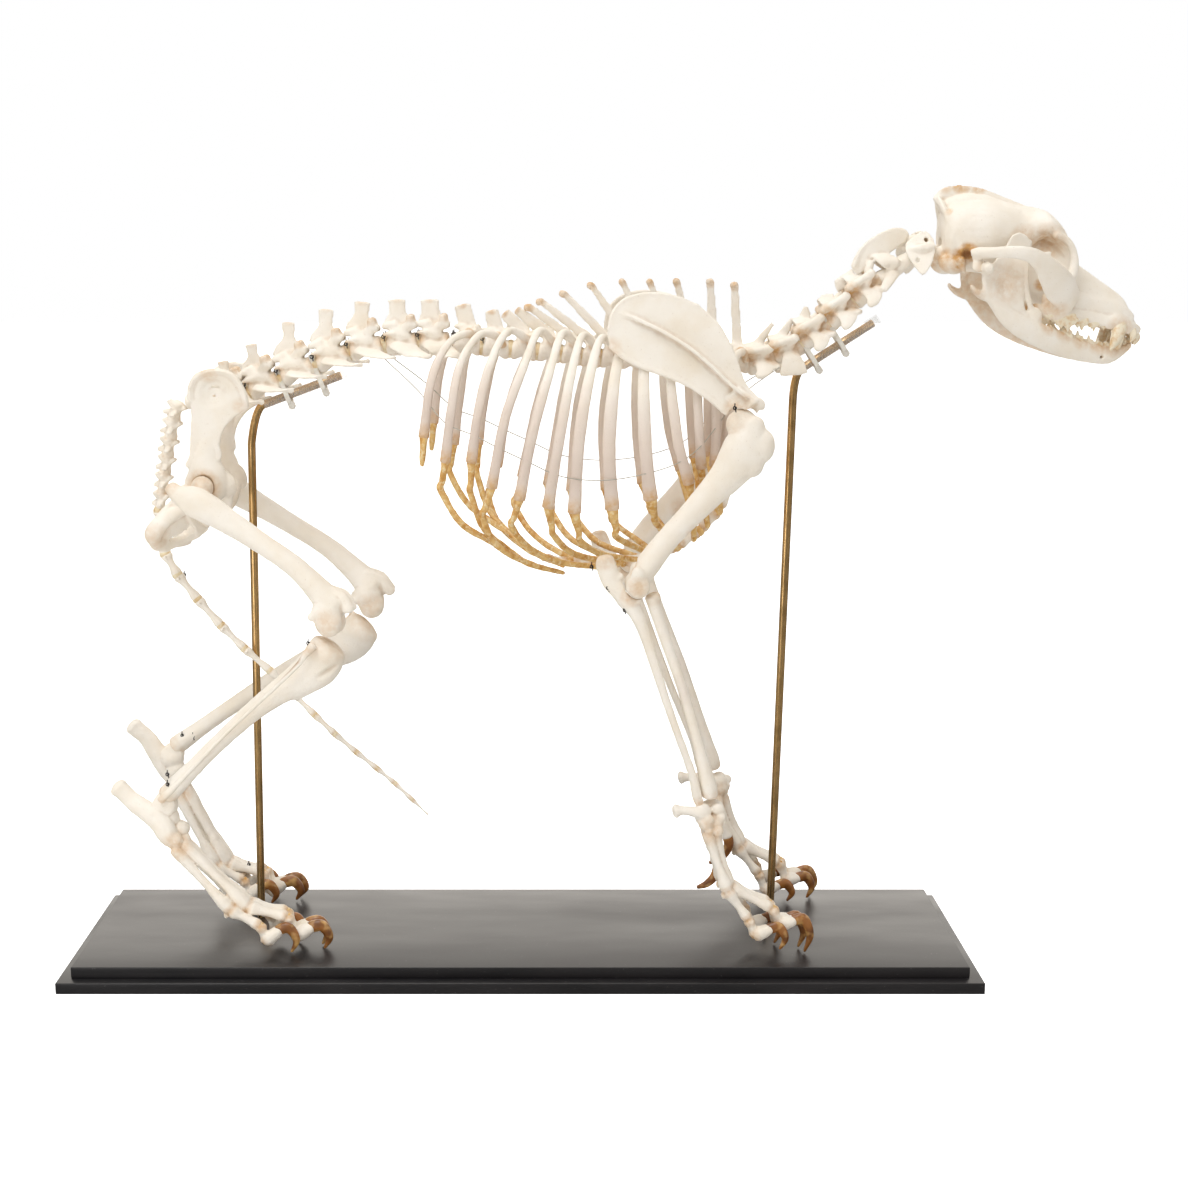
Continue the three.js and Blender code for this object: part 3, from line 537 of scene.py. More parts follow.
class Clay:
    """One mesh modelled in edit mode from rings that are extruded, balls and plates."""

    def __init__(self, name: str) -> None:
        """Add an empty mesh and start modelling it.

        Args:
            name: the piece's name.
        """
        if bpy.context.mode != "OBJECT":
            bpy.ops.object.mode_set(mode="OBJECT")
        bpy.ops.object.select_all(action="DESELECT")
        bpy.ops.object.add(type="MESH")
        self.piece = bpy.context.object
        self.piece.name = name
        self.piece.data.name = name

    def wake(self) -> None:
        """Go on modelling this mesh, in edit mode with nothing selected."""
        if bpy.context.object is not self.piece:
            if bpy.context.mode != "OBJECT":
                bpy.ops.object.mode_set(mode="OBJECT")
            bpy.ops.object.select_all(action="DESELECT")
            bpy.context.view_layer.objects.active = self.piece
            self.piece.select_set(True)
        if bpy.context.mode != "EDIT_MESH":
            bpy.ops.object.mode_set(mode="EDIT")
        bpy.ops.mesh.select_all(action="DESELECT")

    def shift(self, matrix: Matrix) -> None:
        """Move what is selected by a matrix.

        Args:
            matrix: the move, in metres.
        """
        mesh = bmesh.from_edit_mesh(self.piece.data)
        bmesh.ops.transform(mesh, matrix=matrix, verts=[v for v in mesh.verts if v.select])
        bmesh.update_edit_mesh(self.piece.data)

    def loft(self, stations: list[Station], sides: int = 14, steps: int = 3, across: Vector = ACROSS,
            dome: float = 0.6) -> "Clay":
        """Extrude a ring through stations (x, y, z, half width across, half depth), with rounded ends.

        Args:
            stations: the places and half-sizes.
            sides: corners of the ring.
            steps: rings to a station.
            across: the direction of the ring's width.
            dome: how far the ends bulge, as a share.

        Returns:
            This clay.
        """
        run = smooth_run(stations, steps)
        centres = [spot(row) for row in run]
        frames = []
        for i, row in enumerate(run):
            along = (centres[min(i + 1, len(run) - 1)] - centres[max(i - 1, 0)]).normalized()
            u = (across - along * across.dot(along)).normalized()
            w = along.cross(u)
            frames.append((centres[i], u, w, along, row[3] * MM, row[4] * MM))
        rings = []
        for sign, end in ((-1, frames[0]), (1, frames[-1])):
            centre, u, w, along, wide, deep = end
            out = along * sign * dome * min(wide, deep)
            cap = [(centre + out * h, u, w, along, wide * k, deep * k) for h, k in CAP_RINGS]
            rings = [*reversed(cap)] + frames if sign < 0 else rings + cap
        grids = []
        for centre, u, w, along, wide, deep in rings:
            grid = Matrix((u * wide, w * deep, along * MM)).transposed().to_4x4()
            grid.translation = centre
            grids.append(grid)
        self.wake()
        bpy.ops.mesh.primitive_circle_add(vertices=sides, radius=1.0, fill_type="NGON")
        self.shift(grids[0])
        for before, after in zip(grids, grids[1:]):
            bpy.ops.mesh.extrude_region()
            self.shift(after @ before.inverted())
        return self

    def ball(self, at: Point, size: Point, turn: tuple[float, float, float] = (0.0, 0.0, 0.0)) -> "Clay":
        """Add a ball squeezed to three half-sizes in millimetres and turned about its centre.

        Args:
            at: its centre.
            size: its half-sizes.
            turn: its turns about x, y and z in radians.

        Returns:
            This clay.
        """
        self.wake()
        bpy.ops.mesh.primitive_uv_sphere_add(segments=BALL_CUTS[0], ring_count=BALL_CUTS[1], radius=MM)
        place = Matrix.Translation(spot(at))
        twist = Matrix.Rotation(turn[2], 4, "Z") @ Matrix.Rotation(turn[1], 4,
            "Y") @ Matrix.Rotation(turn[0], 4, "X")
        self.shift(place @ twist @ Matrix.Diagonal((*size, 1.0)))
        return self

    def plate(self, outline: list[tuple[float, float]], thick: float, lie: Callable[[float, float], float],
            steps: int = 4) -> "Clay":
        """Extrude a smooth outline of (x, z) into a plate that may lean and bend.

        Args:
            outline: its corners.
            thick: its thickness.
            lie: the middle's distance from the middle plane.
            steps: edges to a corner.

        Returns:
            This clay.
        """
        loop = [(x, 0.0, z, 1.0, 1.0) for x, z in outline]
        closed = smooth_run([loop[-1], *loop, loop[0], loop[1]], steps)[steps:-steps - 1]
        self.wake()
        bpy.ops.mesh.primitive_circle_add(vertices=len(closed), radius=1.0, fill_type="NGON")
        mesh = bmesh.from_edit_mesh(self.piece.data)
        corners = sorted((v for v in mesh.verts if v.select), key=lambda v: math.atan2(v.co.y, v.co.x))
        for corner, (x, _, z, *_) in zip(corners, closed):
            corner.co = spot((x, lie(x, z) - thick / 2, z))
        bmesh.update_edit_mesh(self.piece.data)
        bpy.ops.mesh.extrude_region()
        self.shift(Matrix.Translation((0.0, thick * MM, 0.0)))
        return self

    def close(self) -> Piece:
        """Stop modelling, with every face turned outwards.

        Returns:
            The piece.
        """
        self.wake()
        bpy.ops.mesh.select_all(action="SELECT")
        bpy.ops.mesh.normals_make_consistent(inside=False)
        bpy.ops.mesh.select_all(action="DESELECT")
        bpy.ops.object.mode_set(mode="OBJECT")
        return self.piece


def apply(piece: Piece, kind: str, **settings: object) -> None:
    """Add a modifier with its settings and apply it.

    Args:
        piece: the piece.
        kind: the modifier's type.
        settings: its attributes.
    """
    bpy.ops.object.select_all(action="DESELECT")
    bpy.context.view_layer.objects.active = piece
    piece.select_set(True)
    modifier = piece.modifiers.new(kind.title(), kind)
    for name, value in settings.items():
        setattr(modifier, name, value)
    bpy.ops.object.modifier_apply(modifier=modifier.name)


def fuse(piece: Piece, voxel: float, cuts: Piece | None = None, soften: int = 3,
        rough: float = 0.35) -> None:
    """Melt a piece's overlapping shapes into one skin of bone, hollow it with cuts, and roughen it slightly.

    Args:
        piece: the piece.
        voxel: the skin's grain in millimetres.
        cuts: a mesh to take away, deleted afterwards.
        soften: rounds of smoothing.
        rough: how far the unevenness goes, in millimetres.
    """
    apply(piece, "REMESH", mode="VOXEL", voxel_size=voxel * MM)
    if cuts:
        apply(piece, "BOOLEAN", operation="DIFFERENCE", object=cuts, solver="MANIFOLD")
        bpy.data.objects.remove(cuts)
        apply(piece, "REMESH", mode="VOXEL", voxel_size=voxel * MM)
    apply(piece, "SMOOTH", factor=0.5, iterations=soften)
    if rough:
        clouds = bpy.data.textures.get("Bone_unevenness") or bpy.data.textures.new("Bone_unevenness",
            "CLOUDS")
        clouds.noise_scale = UNEVENNESS * MM
        apply(piece, "DISPLACE", texture=clouds, texture_coords="LOCAL", strength=2 * rough * MM,
            mid_level=0.5)


@dataclass
class Mark:
    """A patch of colour on bone: its place, how far it reaches in millimetres, and how strong it is."""

    at: Point
    reach: float
    strength: float = 1.0
    channel: str = "stain"


def colour_in(piece: Piece, marks: list[Mark]) -> None:
    """Write the marks, and the depth of the hollows that sets their painted shade, on a piece as attributes,
    for the bone finish.

    Args:
        piece: the piece.
        marks: its patches.
    """
    mesh = piece.data
    count = len(mesh.vertices)
    places = np.empty(count * 3, np.float32)
    mesh.vertices.foreach_get("co", places)
    places = places.reshape(-1, 3)
    normals = np.empty(count * 3, np.float32)
    mesh.vertices.foreach_get("normal", normals)
    edges = np.empty(len(mesh.edges) * 2, np.int32)
    mesh.edges.foreach_get("vertices", edges)
    edges = edges.reshape(-1, 2)
    joined = np.maximum(np.bincount(edges.ravel(), minlength=count), 1)
    settled = places.astype(np.float64)
    for _ in range(SETTLING_ROUNDS):
        total = np.zeros_like(settled)
        for axis in range(3):
            total[:, axis] += np.bincount(edges[:, 0], settled[edges[:, 1], axis], count)
            total[:, axis] += np.bincount(edges[:, 1], settled[edges[:, 0], axis], count)
        settled = total / joined[:, None]
    # The hollow attribute is painted shade: how far each point lies below its smoothed neighbours, along its
    # normal.
    depth = np.einsum("ij,ij->i", settled - places, normals.reshape(-1, 3)) / (HOLLOW_DEPTH * MM)
    values = {"hollow": np.clip(depth, 0.0, 1.0), "stain": np.zeros(count),
        "flush": np.zeros(count)}
    for mark in marks:
        gap = np.linalg.norm(places - np.array(spot(mark.at)), axis=1) / (mark.reach * MM)
        fade = np.clip(1.0 - gap, 0.0, 1.0)
        values[mark.channel] = np.maximum(values[mark.channel], mark.strength * fade * (2.0 - fade))
    for name, value in values.items():
        attribute = mesh.attributes.new(name, "FLOAT", "POINT")
        attribute.data.foreach_set("value", value.astype(np.float32))


def dress(piece: Piece, material: Material, nodes: tuple[str, ...]) -> None:
    """Give a finished piece its material, its body and the nodes that it stands for.

    Args:
        piece: the piece.
        material: its finish.
        nodes: the solids it stands for.
    """
    piece.data.materials.clear()
    piece.data.materials.append(material)
    piece.data.shade_smooth()
    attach(piece, BODY)
    if nodes:
        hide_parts(*nodes)
    LOG.info("%s: %d faces, stands for %s", piece.name, len(piece.data.polygons),
        ", ".join(nodes) or "no solid")


def bone_piece(clay: Clay, coat: Coat, nodes: tuple[str, ...], voxel: float, marks: list[Mark] | None = None,
        cuts: Clay | None = None, soften: int = 3, rough: float = 0.35) -> Piece:
    """Finish modelled clay as bone, with the cuts taken away.

    Args:
        clay: the modelled bone.
        coat: the finishes.
        nodes: the solids it stands for.
        voxel: the grain of its skin in millimetres.
        marks: its patches of colour.
        cuts: what is taken away.
        soften: rounds of smoothing.
        rough: its unevenness in millimetres.

    Returns:
        The piece.
    """
    piece = clay.close()
    fuse(piece, voxel, cuts.close() if cuts else None, soften, rough)
    colour_in(piece, marks or [])
    dress(piece, coat.bone, nodes)
    return piece


def plain_piece(clay: Clay, material: Material, nodes: tuple[str, ...],
        voxel: float = 0.0, rough: float = 0.0) -> Piece:
    """Finish modelled clay in any other material, melted together where a voxel is given.

    Args:
        clay: the modelled piece.
        material: its finish.
        nodes: the solids it stands for.
        voxel: the grain of its skin in millimetres, or 0.
        rough: its unevenness in millimetres.

    Returns:
        The piece.
    """
    piece = clay.close()
    if voxel:
        fuse(piece, voxel, rough=rough)
    dress(piece, material, nodes)
    return piece


# The column

@dataclass
class Vertebra:
    """One vertebra: the centre of its body, the tip of its spine, its direction and its spacing."""

    body: tuple[float, float]
    tip: tuple[float, float]
    along: tuple[float, float] = (1.0, 0.0)
    spacing: float = 20.0

    def at(self, ahead: float, out: float, up: float) -> Point:
        """A place on the vertebra: towards the head, out from the middle plane, and up."""
        (x, z), (tx, tz) = self.body, self.along
        return (x + tx * ahead - tz * up, out, z + tz * ahead + tx * up)

    def run(self, rows: list[tuple[float, ...]], side: Side = Side.LEFT) -> list[Station]:
        """Stations from rows of (ahead, out, up, half-sizes) on this vertebra."""
        return side.flip([(*self.at(a, o, u), *size) for a, o, u, *size in rows])


def column_of(rows: list[tuple[float, float, float, float]]) -> list[Vertebra]:
    """Vertebrae from rows of body x, body z, tip x, tip z, head first.

    Args:
        rows: the four numbers of each vertebra.

    Returns:
        The vertebrae, each with its direction and spacing.
    """
    made = [Vertebra((bx, bz), (tx, tz)) for bx, bz, tx, tz in rows]
    for i, vertebra in enumerate(made):
        (ax, az), (cx, cz) = made[max(i - 1, 0)].body, made[min(i + 1, len(made) - 1)].body
        run = math.hypot(ax - cx, az - cz)
        vertebra.along = ((ax - cx) / run, (az - cz) / run)
        vertebra.spacing = run / (1 if i in (0, len(made) - 1) else 2)
    return made


NECK = column_of([(297, 595, 271, 598), (276, 576, 258, 588), (254, 558, 246, 581), (231, 542, 235, 571),
    (208, 534, 218, 567)])
THORAX = column_of([(188, 533, 184, 601), (168, 534, 163, 604), (149, 534, 134, 604), (130, 535, 111, 604),
    (113, 535, 87, 604), (96, 536, 60, 601), (78, 537, 36, 594), (61, 538, 16, 587), (44, 540, 6, 582),
    (25, 542, -4, 579), (3, 544, -14, 576), (-21, 546, -25, 578), (-46, 549, -50, 583)])
LOIN = column_of([(-74, 551, -78, 588), (-102, 550, -106, 588), (-133, 546, -136, 586),
    (-162, 537, -167, 580), (-193, 526, -200, 569), (-222, 514, -233, 550), (-248, 504, -258, 535)])
TAIL = [(-297, 498), (-302, 484), (-305, 468), (-308, 452), (-311, 437), (-314, 421), (-317, 404),
    (-318, 386), (-314, 366), (-304, 347), (-287, 325), (-267, 301), (-247, 280), (-225, 260), (-205, 239),
    (-186, 219), (-168, 201), (-149, 184), (-131, 169), (-115, 155), (-100, 140), (-84, 124)]


@dataclass
class Column:
    """The vertebrae from the atlas to the sacrum, with discs and the small wires between them."""

    coat: Coat
    voxel: float = 1.15

    def centrum(self, clay: Clay, v: Vertebra, wide: float, deep: float, length: float = 0.43) -> None:
        """The vertebra's body: a waisted drum with lipped faces.

        Args:
            clay: the mesh being modelled.
            v: the vertebra.
            wide, deep: its half-sizes.
            length: its half-length as a share of the spacing.
        """
        h = v.spacing * length
        clay.loft(v.run([(h, 0, 0, wide, deep), (h * 0.8, 0, 0, wide, deep),
            (0, 0, 1, wide * 0.74, deep * 0.76), (-h * 0.8, 0, 0, wide, deep),
            (-h, 0, 0, wide * 0.95, deep * 0.95)]), 16, 3, dome=0.15)

    def arch(self, clay: Clay, v: Vertebra, half: float, top: float, length: float) -> None:
        """The two sides of the arch over the canal, and its roof.

        Args:
            clay: the mesh being modelled.
            v: the vertebra.
            half: its half-width.
            top: its height over the body's middle.
            length: its length.
        """
        for side in Side:
            clay.loft(v.run([(1, half * 0.85, 3, length * 0.55, 2.4),
                (0, half, top * 0.6, length * 0.62, 2.2), (-1, half * 0.65, top, length * 0.75, 2.4),
                (-1, 0, top + 3, length * 0.75, 2.6)], side), 12, 3, FORWARD, 0.4)

    def joints(self, clay: Clay, v: Vertebra, out: float, up: float, size: float, knob: float = 0.0) -> None:
        """The joint processes fore and aft, with a raised knob on the fore pair where there is one.

        Args:
            clay: the mesh being modelled.
            v: the vertebra.
            out, up: the place of the fore pair.
            size: their half-size.
            knob: the height of the knob, or 0.
        """
        h = v.spacing * 0.5
        for side in Side:
            fore = [(h * 0.3, out * 0.75, up - 1, size, size * 0.9), (h * 0.85, out, up, size, size * 0.8)]
            rear = [(-h * 0.3, out * 0.5, up + 1, size, size),
                (-h * 0.95, out * 0.62, up + 1.5, size * 0.8, size * 0.7)]
            clay.loft(v.run(fore, side), 10, 3)
            clay.loft(v.run(rear, side), 10, 3)
            if knob:
                clay.loft(v.run([(h * 0.6, out, up, size, size),
                    (h * 0.62, out, up + knob, size * 0.8, size * 1.1)], side), 10, 3, FORWARD)

    def spine(self, clay: Clay, v: Vertebra, root: float, chord: float, thick: float, tip_chord: float,
            tip_thick: float) -> None:
        """The spine: a thin plate from the arch to a thicker tip.

        Args:
            clay: the mesh being modelled.
            v: the vertebra.
            root: the height it starts at.
            chord, thick: its half-sizes lower down.
            tip_chord, tip_thick: its half-sizes at the tip.
        """
        top = (v.tip[0], 0.0, v.tip[1])
        foot = v.at(-1, 0, root)
        rows = [(*blend(foot, top, s), t, c) for s, t, c in ((0.0, thick * 1.7, chord * 1.15),
            (0.2, thick, chord), (0.6, thick * 0.85, (chord + tip_chord) / 2),
            (0.88, thick * 0.9, tip_chord), (0.97, tip_thick, tip_chord))]
        clay.loft(rows, 14, 3, ACROSS, 0.35)

    def wing(self, clay: Clay, v: Vertebra, rows: list[tuple[float, ...]]) -> None:
        """A pair of side processes through rows on the vertebra."""
        for side in Side:
            clay.loft(v.run(rows, side), 12, 3, FORWARD, 0.4)

    def canal(self, name: str, v: Vertebra, up: float, half: float) -> Clay:
        """The cutter for the canal.

        Args:
            name: the cutter's name.
            v: the vertebra.
            up: its height over the body's middle.
            half: its half-width.

        Returns:
            The cutter.
        """
        clay = Clay(name)
        clay.loft(v.run([(v.spacing, 0, up, half, half * 0.85), (-v.spacing, 0, up, half, half * 0.85)]), 16,
            2)
        return clay

    def make_atlas(self) -> None:
        """The atlas: a ring with two broad wings, each with two holes."""
        v = Vertebra((345, 627), (345, 640), (0.857, 0.515), 29)
        clay = Clay("atlas_bone")
        clay.loft(v.run([(8, 0, 3, 15.5, 12.5), (0, 0, 3, 13.5, 11), (-9, 0, 3, 14.5, 11.5)]), 20, 3,
            dome=0.2)
        clay.ball(v.at(0, 0, 13.5), (7, 5, 3.5))
        for side in Side:
            half = side.value
            clay.plate([(327, 634), (335, 641), (344, 645), (350, 638), (351, 630), (348, 620), (343, 612),
                (338, 608), (332, 615), (326, 626)], 3.0, lambda x, z: half * (12 + (642 - z) * 0.68), 3)
            clay.loft(side.flip([(331, 20, 629, 4, 3), (341, 22, 630, 4, 4), (349, 20, 632, 4, 3)]), 12, 3)
        cuts = self.canal("atlas_canal", v, 4, 8.4)
        for side in Side:
            for x, z in ((344, 637), (335, 620)):
                out = 12 + (642 - z) * 0.68
                cuts.loft(side.flip([(x, out + 7, z, 2.0), (x, out - 6, z, 2.0)]), 10, 1, FORWARD)
        bone_piece(clay, self.coat, ("atlas",), 1.0, [Mark(v.at(12, 12, 0), 14, 0.35)], cuts)

    def make_axis(self) -> None:
        """The axis: a long body with a peg and a tall oval plate on top."""
        v = Vertebra((320, 612), (300, 640), (0.812, 0.583), 30)
        clay = Clay("axis_bone")
        clay.loft(v.run([(22, 0, 5, 3, 3), (16, 0, 3, 6, 5), (11, 0, 1, 10, 7.5), (0, 0, 0, 8, 7),
            (-12, 0, 0, 9, 8), (-14, 0, 0, 8.5, 8)]), 16, 3)
        self.arch(clay, v, 9.5, 13, 13)
        outline = [(285, 614), (290, 627), (300, 638), (316, 646), (328, 646.5), (331.5, 642), (329, 635),
            (325, 625), (318, 615), (309, 608), (297, 606), (288, 609)]
        clay.plate(outline, 2.8, lambda x, z: 0.0)
        clay.loft([(331, 0, 641, 2.2, 2), (326, 0, 646, 1.9, 1.6), (315, 0, 645, 1.9, 1.6),
            (300, 0, 637, 2, 1.8), (290, 0, 626, 2.4, 2), (286, 0, 615, 4, 2.6)], 10, 3)
        for side in Side:
            clay.loft(v.run([(-13, 5, 17, 3.4, 3.4), (-20, 9, 12, 3.4, 4)], side), 10, 2)
        self.wing(clay, v, [(-2, 7, -1, 6, 2.6), (-11, 14, -4, 5, 2.4), (-19, 20, -7, 3.4, 2)])
        bone_piece(clay, self.coat, ("axis",), 1.0, [Mark(v.at(-18, 6, 12), 10, 0.6)],
            self.canal("axis_canal", v, 9.5, 5))

    def make_neck(self) -> None:
        """The third to seventh neck vertebrae, with spines that grow and side processes that turn down."""
        for i, v in enumerate(NECK):
            clay = Clay(f"neck_vertebra_{i + 3}")
            h = v.spacing * 0.5
            clay.loft(v.run([(h, 0, 0, 9, 8.5), (0, 0, 0, 8.6, 8), (-h * 0.85, 0, 0, 10.5, 9.6),
                (-h * 0.95, 0, 0, 9.4, 8.6)]), 14, 3, dome=0.3)
            self.arch(clay, v, 10, 13, 14)
            self.joints(clay, v, 13.5, 9.5, 5.0)
            for side in (Side.LEFT, Side.RIGHT):
                clay.loft(v.run([(h * 0.9, 13, 9, 4, 3), (-h * 0.9, 13, 13, 4.5, 3.6)], side), 10, 3)
            self.spine(clay, v, 13, (9, 7, 6, 5, 4.5)[i], 1.6, (6, 4, 3, 2.5, 2.3)[i], 1.9)
            if i == 3:
                self.wing(clay, v, [(2, 8, 0, 6, 2.6), (0, 14, -5, 9, 2.2), (-3, 16.5, -13, 12, 1.9),
                    (-5, 17, -18, 12, 1.7)])
            else:
                self.wing(clay, v, [(0, 8, 0, 9, 3.2), (1, 15, -4, 9, 2.6), (-4, 21, -8, 6, 2.1),
                    (-9, 23, -9, 3, 1.8)])
                self.wing(clay, v, [(6, 10, -3, 5, 2.8), (12, 15, -9, 4, 2.2)])
            marks = [Mark(v.at(-12, 12, 8), 11, 0.75), Mark(v.at(-12, -12, 8), 11, 0.75),
                Mark(v.at(10, 10, 0), 9, 0.5), Mark(v.at(10, -10, 0), 9, 0.5)]
            bone_piece(clay, self.coat, ("neck_vertebrae",), 1.0, marks,
                self.canal(f"neck_canal_{i}", v, 9.5, 4.8))

    def make_thorax(self) -> None:
        """The thirteen thoracic vertebrae: rod-like spines, shorter and broader to the rear."""
        for i, v in enumerate(THORAX):
            clay = Clay(f"thoracic_vertebra_{i + 1}")
            self.centrum(clay, v, 10, 9)
            self.arch(clay, v, 7.5, 12, v.spacing * 0.42)
            late = i > 8
            self.joints(clay, v, 6, 13, 3.0, 4.0 if late else 0.0)
            chord = 6.5 + 0.5 * (i - 9) if late else 4.6
            tip = (3.8, 3.8, 3.4, 3.2, 3.1, 3.1, 3.1, 3.2, 3.4, 4.2, 5.5, 6.5, 7.5)[i]
            self.spine(clay, v, 14, chord, 1.7, tip, 2.4 if late else 3.2)
            if not late:
                clay.ball((v.tip[0], 0, v.tip[1] - 2), (tip, 3.5, 3.4))
            self.wing(clay, v, [(1, 5, 10, 4.5, 3.6), (1, 12, 11, 4, 3.6), (0, 15.5, 12, 3.4, 3.2)])
            marks = [Mark((v.tip[0], 0, v.tip[1]), 5 if late else 8, 0.65), Mark(v.at(0, 15, 12), 9, 0.5),
                Mark(v.at(0, -15, 12), 9, 0.5), Mark(v.at(v.spacing * 0.5, 0, -2), 10, 0.5),
                Mark(v.at(-v.spacing * 0.5, 0, -2), 10, 0.5)]
            bone_piece(clay, self.coat, ("thoracic_vertebrae",), self.voxel, marks,
                self.canal(f"thoracic_canal_{i}", v, 9, 4.2))

    def make_loin(self) -> None:
        """The seven lumbar vertebrae: hatchet spines, knobbed joints and flat side blades swept forwards."""
        for i, v in enumerate(LOIN):
            clay = Clay(f"lumbar_vertebra_{i + 1}")
            self.centrum(clay, v, 11, 9.5)
            self.arch(clay, v, 8.5, 13, v.spacing * 0.46)
            self.joints(clay, v, 8.5, 14.5, 4.4, 7.5)
            top = (v.tip[0], 0.0, v.tip[1])
            foot = v.at(-2, 0, 15)
            tip = 8.2 - 0.55 * i
            rows = [(*blend(foot, top, s), t, c) for s, t, c in ((0.0, 3.8, v.spacing * 0.46),
                (0.22, 2.1, v.spacing * 0.4), (0.5, 1.6, tip * 1.02), (0.8, 1.6, tip * 1.02),
                (0.95, 2.2, tip * 1.08))]
            clay.loft(rows, 18, 3, ACROSS, 0.25)
            reach = (19, 23, 26, 28, 27, 25, 20)[i]
            self.wing(clay, v, [(-4, 8, 0, 9, 3), (3, 14, -4, 9.5, 2), (12, reach * 0.78, -8.5, 8, 1.6),
                (20, reach, -11.5, 5.5, 1.3), (26, reach * 1.02, -13, 2.2, 1)])
            for side in Side:
                clay.loft(v.run([(-6, 9, 9, 3, 2.4), (-v.spacing * 0.5, 11, 9, 1.8, 1.6)], side), 8, 2)
            fore = v.spacing * 0.32
            marks = [Mark((top[0], 0, top[2] + 1), 6, 0.4)]
            marks += [Mark(v.at(fore, s * 8.5, 22), 7, 0.6) for s in (-1, 1)]
            marks += [Mark(v.at(s * v.spacing * 0.5, o, 4), 8, 0.6) for s in (-1, 1) for o in (-9, 9)]
            bone_piece(clay, self.coat, ("lumbar_vertebrae",), self.voxel, marks,
                self.canal(f"lumbar_canal_{i}", v, 9.5, 4.8))

    def make_sacrum(self) -> None:
        """The sacrum: one wedge with wings at the front and a low crest."""
        clay = Clay("sacrum_bone")
        clay.loft([(-263, 0, 503, 22, 9), (-268, 0, 503, 22.5, 9), (-276, 0, 501.5, 16, 8),
            (-290, 0, 499, 10, 6.5)], 20, 3, dome=0.15)
        for x, z in ((-268, 519), (-276, 517), (-285, 512)):
            clay.loft([(x + 1, 0, 506, 3, 4), (x, 0, z - 2, 1.8, 3.4), (x, 0, z, 2.2, 3)], 12, 3)
        bone_piece(clay, self.coat, ("sacrum",), 1.1, [Mark((-262, 18, 500), 10, 0.5),
            Mark((-262, -18, 500), 10, 0.5)])

    def make_discs(self) -> None:
        """The dried discs between the bodies."""
        for name, column, node in (("neck", NECK, "neck_vertebrae"),
                ("thoracic", THORAX, "thoracic_vertebrae"), ("lumbar", LOIN, "lumbar_vertebrae")):
            clay = Clay(f"{name}_discs")
            for v in column[:-1]:
                h = v.spacing * 0.5
                clay.loft(v.run([(-h * 0.75, 0, 0, 7.5, 7), (-h, 0, 0, 9.2, 8.6),
                    (-h * 1.25, 0, 0, 7.5, 7)]), 18, 2)
            plain_piece(clay, self.coat.disc, (node,), 1.4, 0.3)

    def make_tail(self) -> None:
        """The tail: knobby root bones with side processes, then slender waisted bones with amber joints."""
        roots = Clay("tail_root_bones")
        for i in range(6):
            (ax, az), (bx, bz) = TAIL[i], TAIL[i + 1]
            v = Vertebra(((ax + bx) / 2, (az + bz) / 2), (0, 0),
                ((ax - bx) / math.hypot(ax - bx, az - bz), (az - bz) / math.hypot(ax - bx, az - bz)), 15.5)
            k = 1 - 0.05 * i
            roots.loft([(*v.at(a, -3, 0), w * k, d * k) for a, w, d in ((6.4, 7.6, 6.6), (0, 5, 4.6),
                (-6.4, 7.2, 6.4))], 16, 3)
            for y in (-1, 1):
                roots.loft([(*v.at(0, -3 + y * 3, 0), 3.4, 2),
                    (*v.at(-3, -3 + y * (12.5 - i), 0), 2.4, 1.6)], 10, 3, FORWARD)
                roots.loft([(*v.at(4, -3 + y * 3, 3), 2.4, 2.4), (*v.at(7.5, -3 + y * 4, 8 * k), 2.2, 2.2)],
                    10, 2)
                roots.loft([(*v.at(3, -3 + y * 3, -3), 2, 2), (*v.at(6, -3 + y * 4, -7.5 * k), 1.8, 1.8)],
                    10, 2)
            roots.loft([(*v.at(0, -3, 2), 1.8, 3.4), (*v.at(-3.5, -3, 10 * k), 1.6, 2.2)], 10, 2)
        bone_piece(roots, self.coat, ("tail_vertebrae",), 0.85,
            [Mark((x, -3, z), 7, 0.5) for x, z in TAIL[1:7]], rough=0.6)
        rods = Clay("tail_bones")
        joints = Clay("tail_joints")
        last = len(TAIL) - 1
        for i in range(6, last):
            (ax, az), (bx, bz) = TAIL[i], TAIL[i + 1]
            k = 10.6 - 8.5 * math.sqrt(i / last)
            rows = [(s, f) for s, f in ((0.04, 0.9), (0.14, 1.05), (0.32, 0.7), (0.6, 0.64), (0.86, 0.95),
                (0.96, 0.85))]
            taper = 0.3 if i == last - 1 else 1.0
            rods.loft([(ax + (bx - ax) * s, -3, az + (bz - az) * s, k * f * (1 - s * (1 - taper)))
                for s, f in rows], 12, 2)
            if i < 13:
                rods.loft([(ax + (bx - ax) * 0.12, -3 - k * 1.5, az + (bz - az) * 0.12, 1.4),
                    (ax + (bx - ax) * 0.12, -3 + k * 1.5, az + (bz - az) * 0.12, 1.4)], 8, 2, FORWARD)
            joints.ball((ax, -3, az), (k * 0.98, k * 0.98, k * 0.98))
        bone_piece(rods, self.coat, ("tail_vertebrae",), 0.7,
            [Mark((x, -3, z), 5, 0.6) for x, z in TAIL[6:]], rough=0.2)
        plain_piece(joints, self.coat.disc, ("tail_vertebrae",))

    def make_wires(self) -> None:
        """The small coils of binding wire seen between the loin vertebrae."""
        wires = WireWork(self.coat)
        for v in LOIN[:-1] + THORAX[-2:]:
            base = v.at(-v.spacing * 0.5, 9.4, 7)
            wires.coil(f"spine_wire_{int(400 + base[0])}", base, 1.5, 3)
            wires.coil(f"spine_wire_far_{int(400 + base[0])}", (base[0], -base[1], base[2]), 1.5, 3)

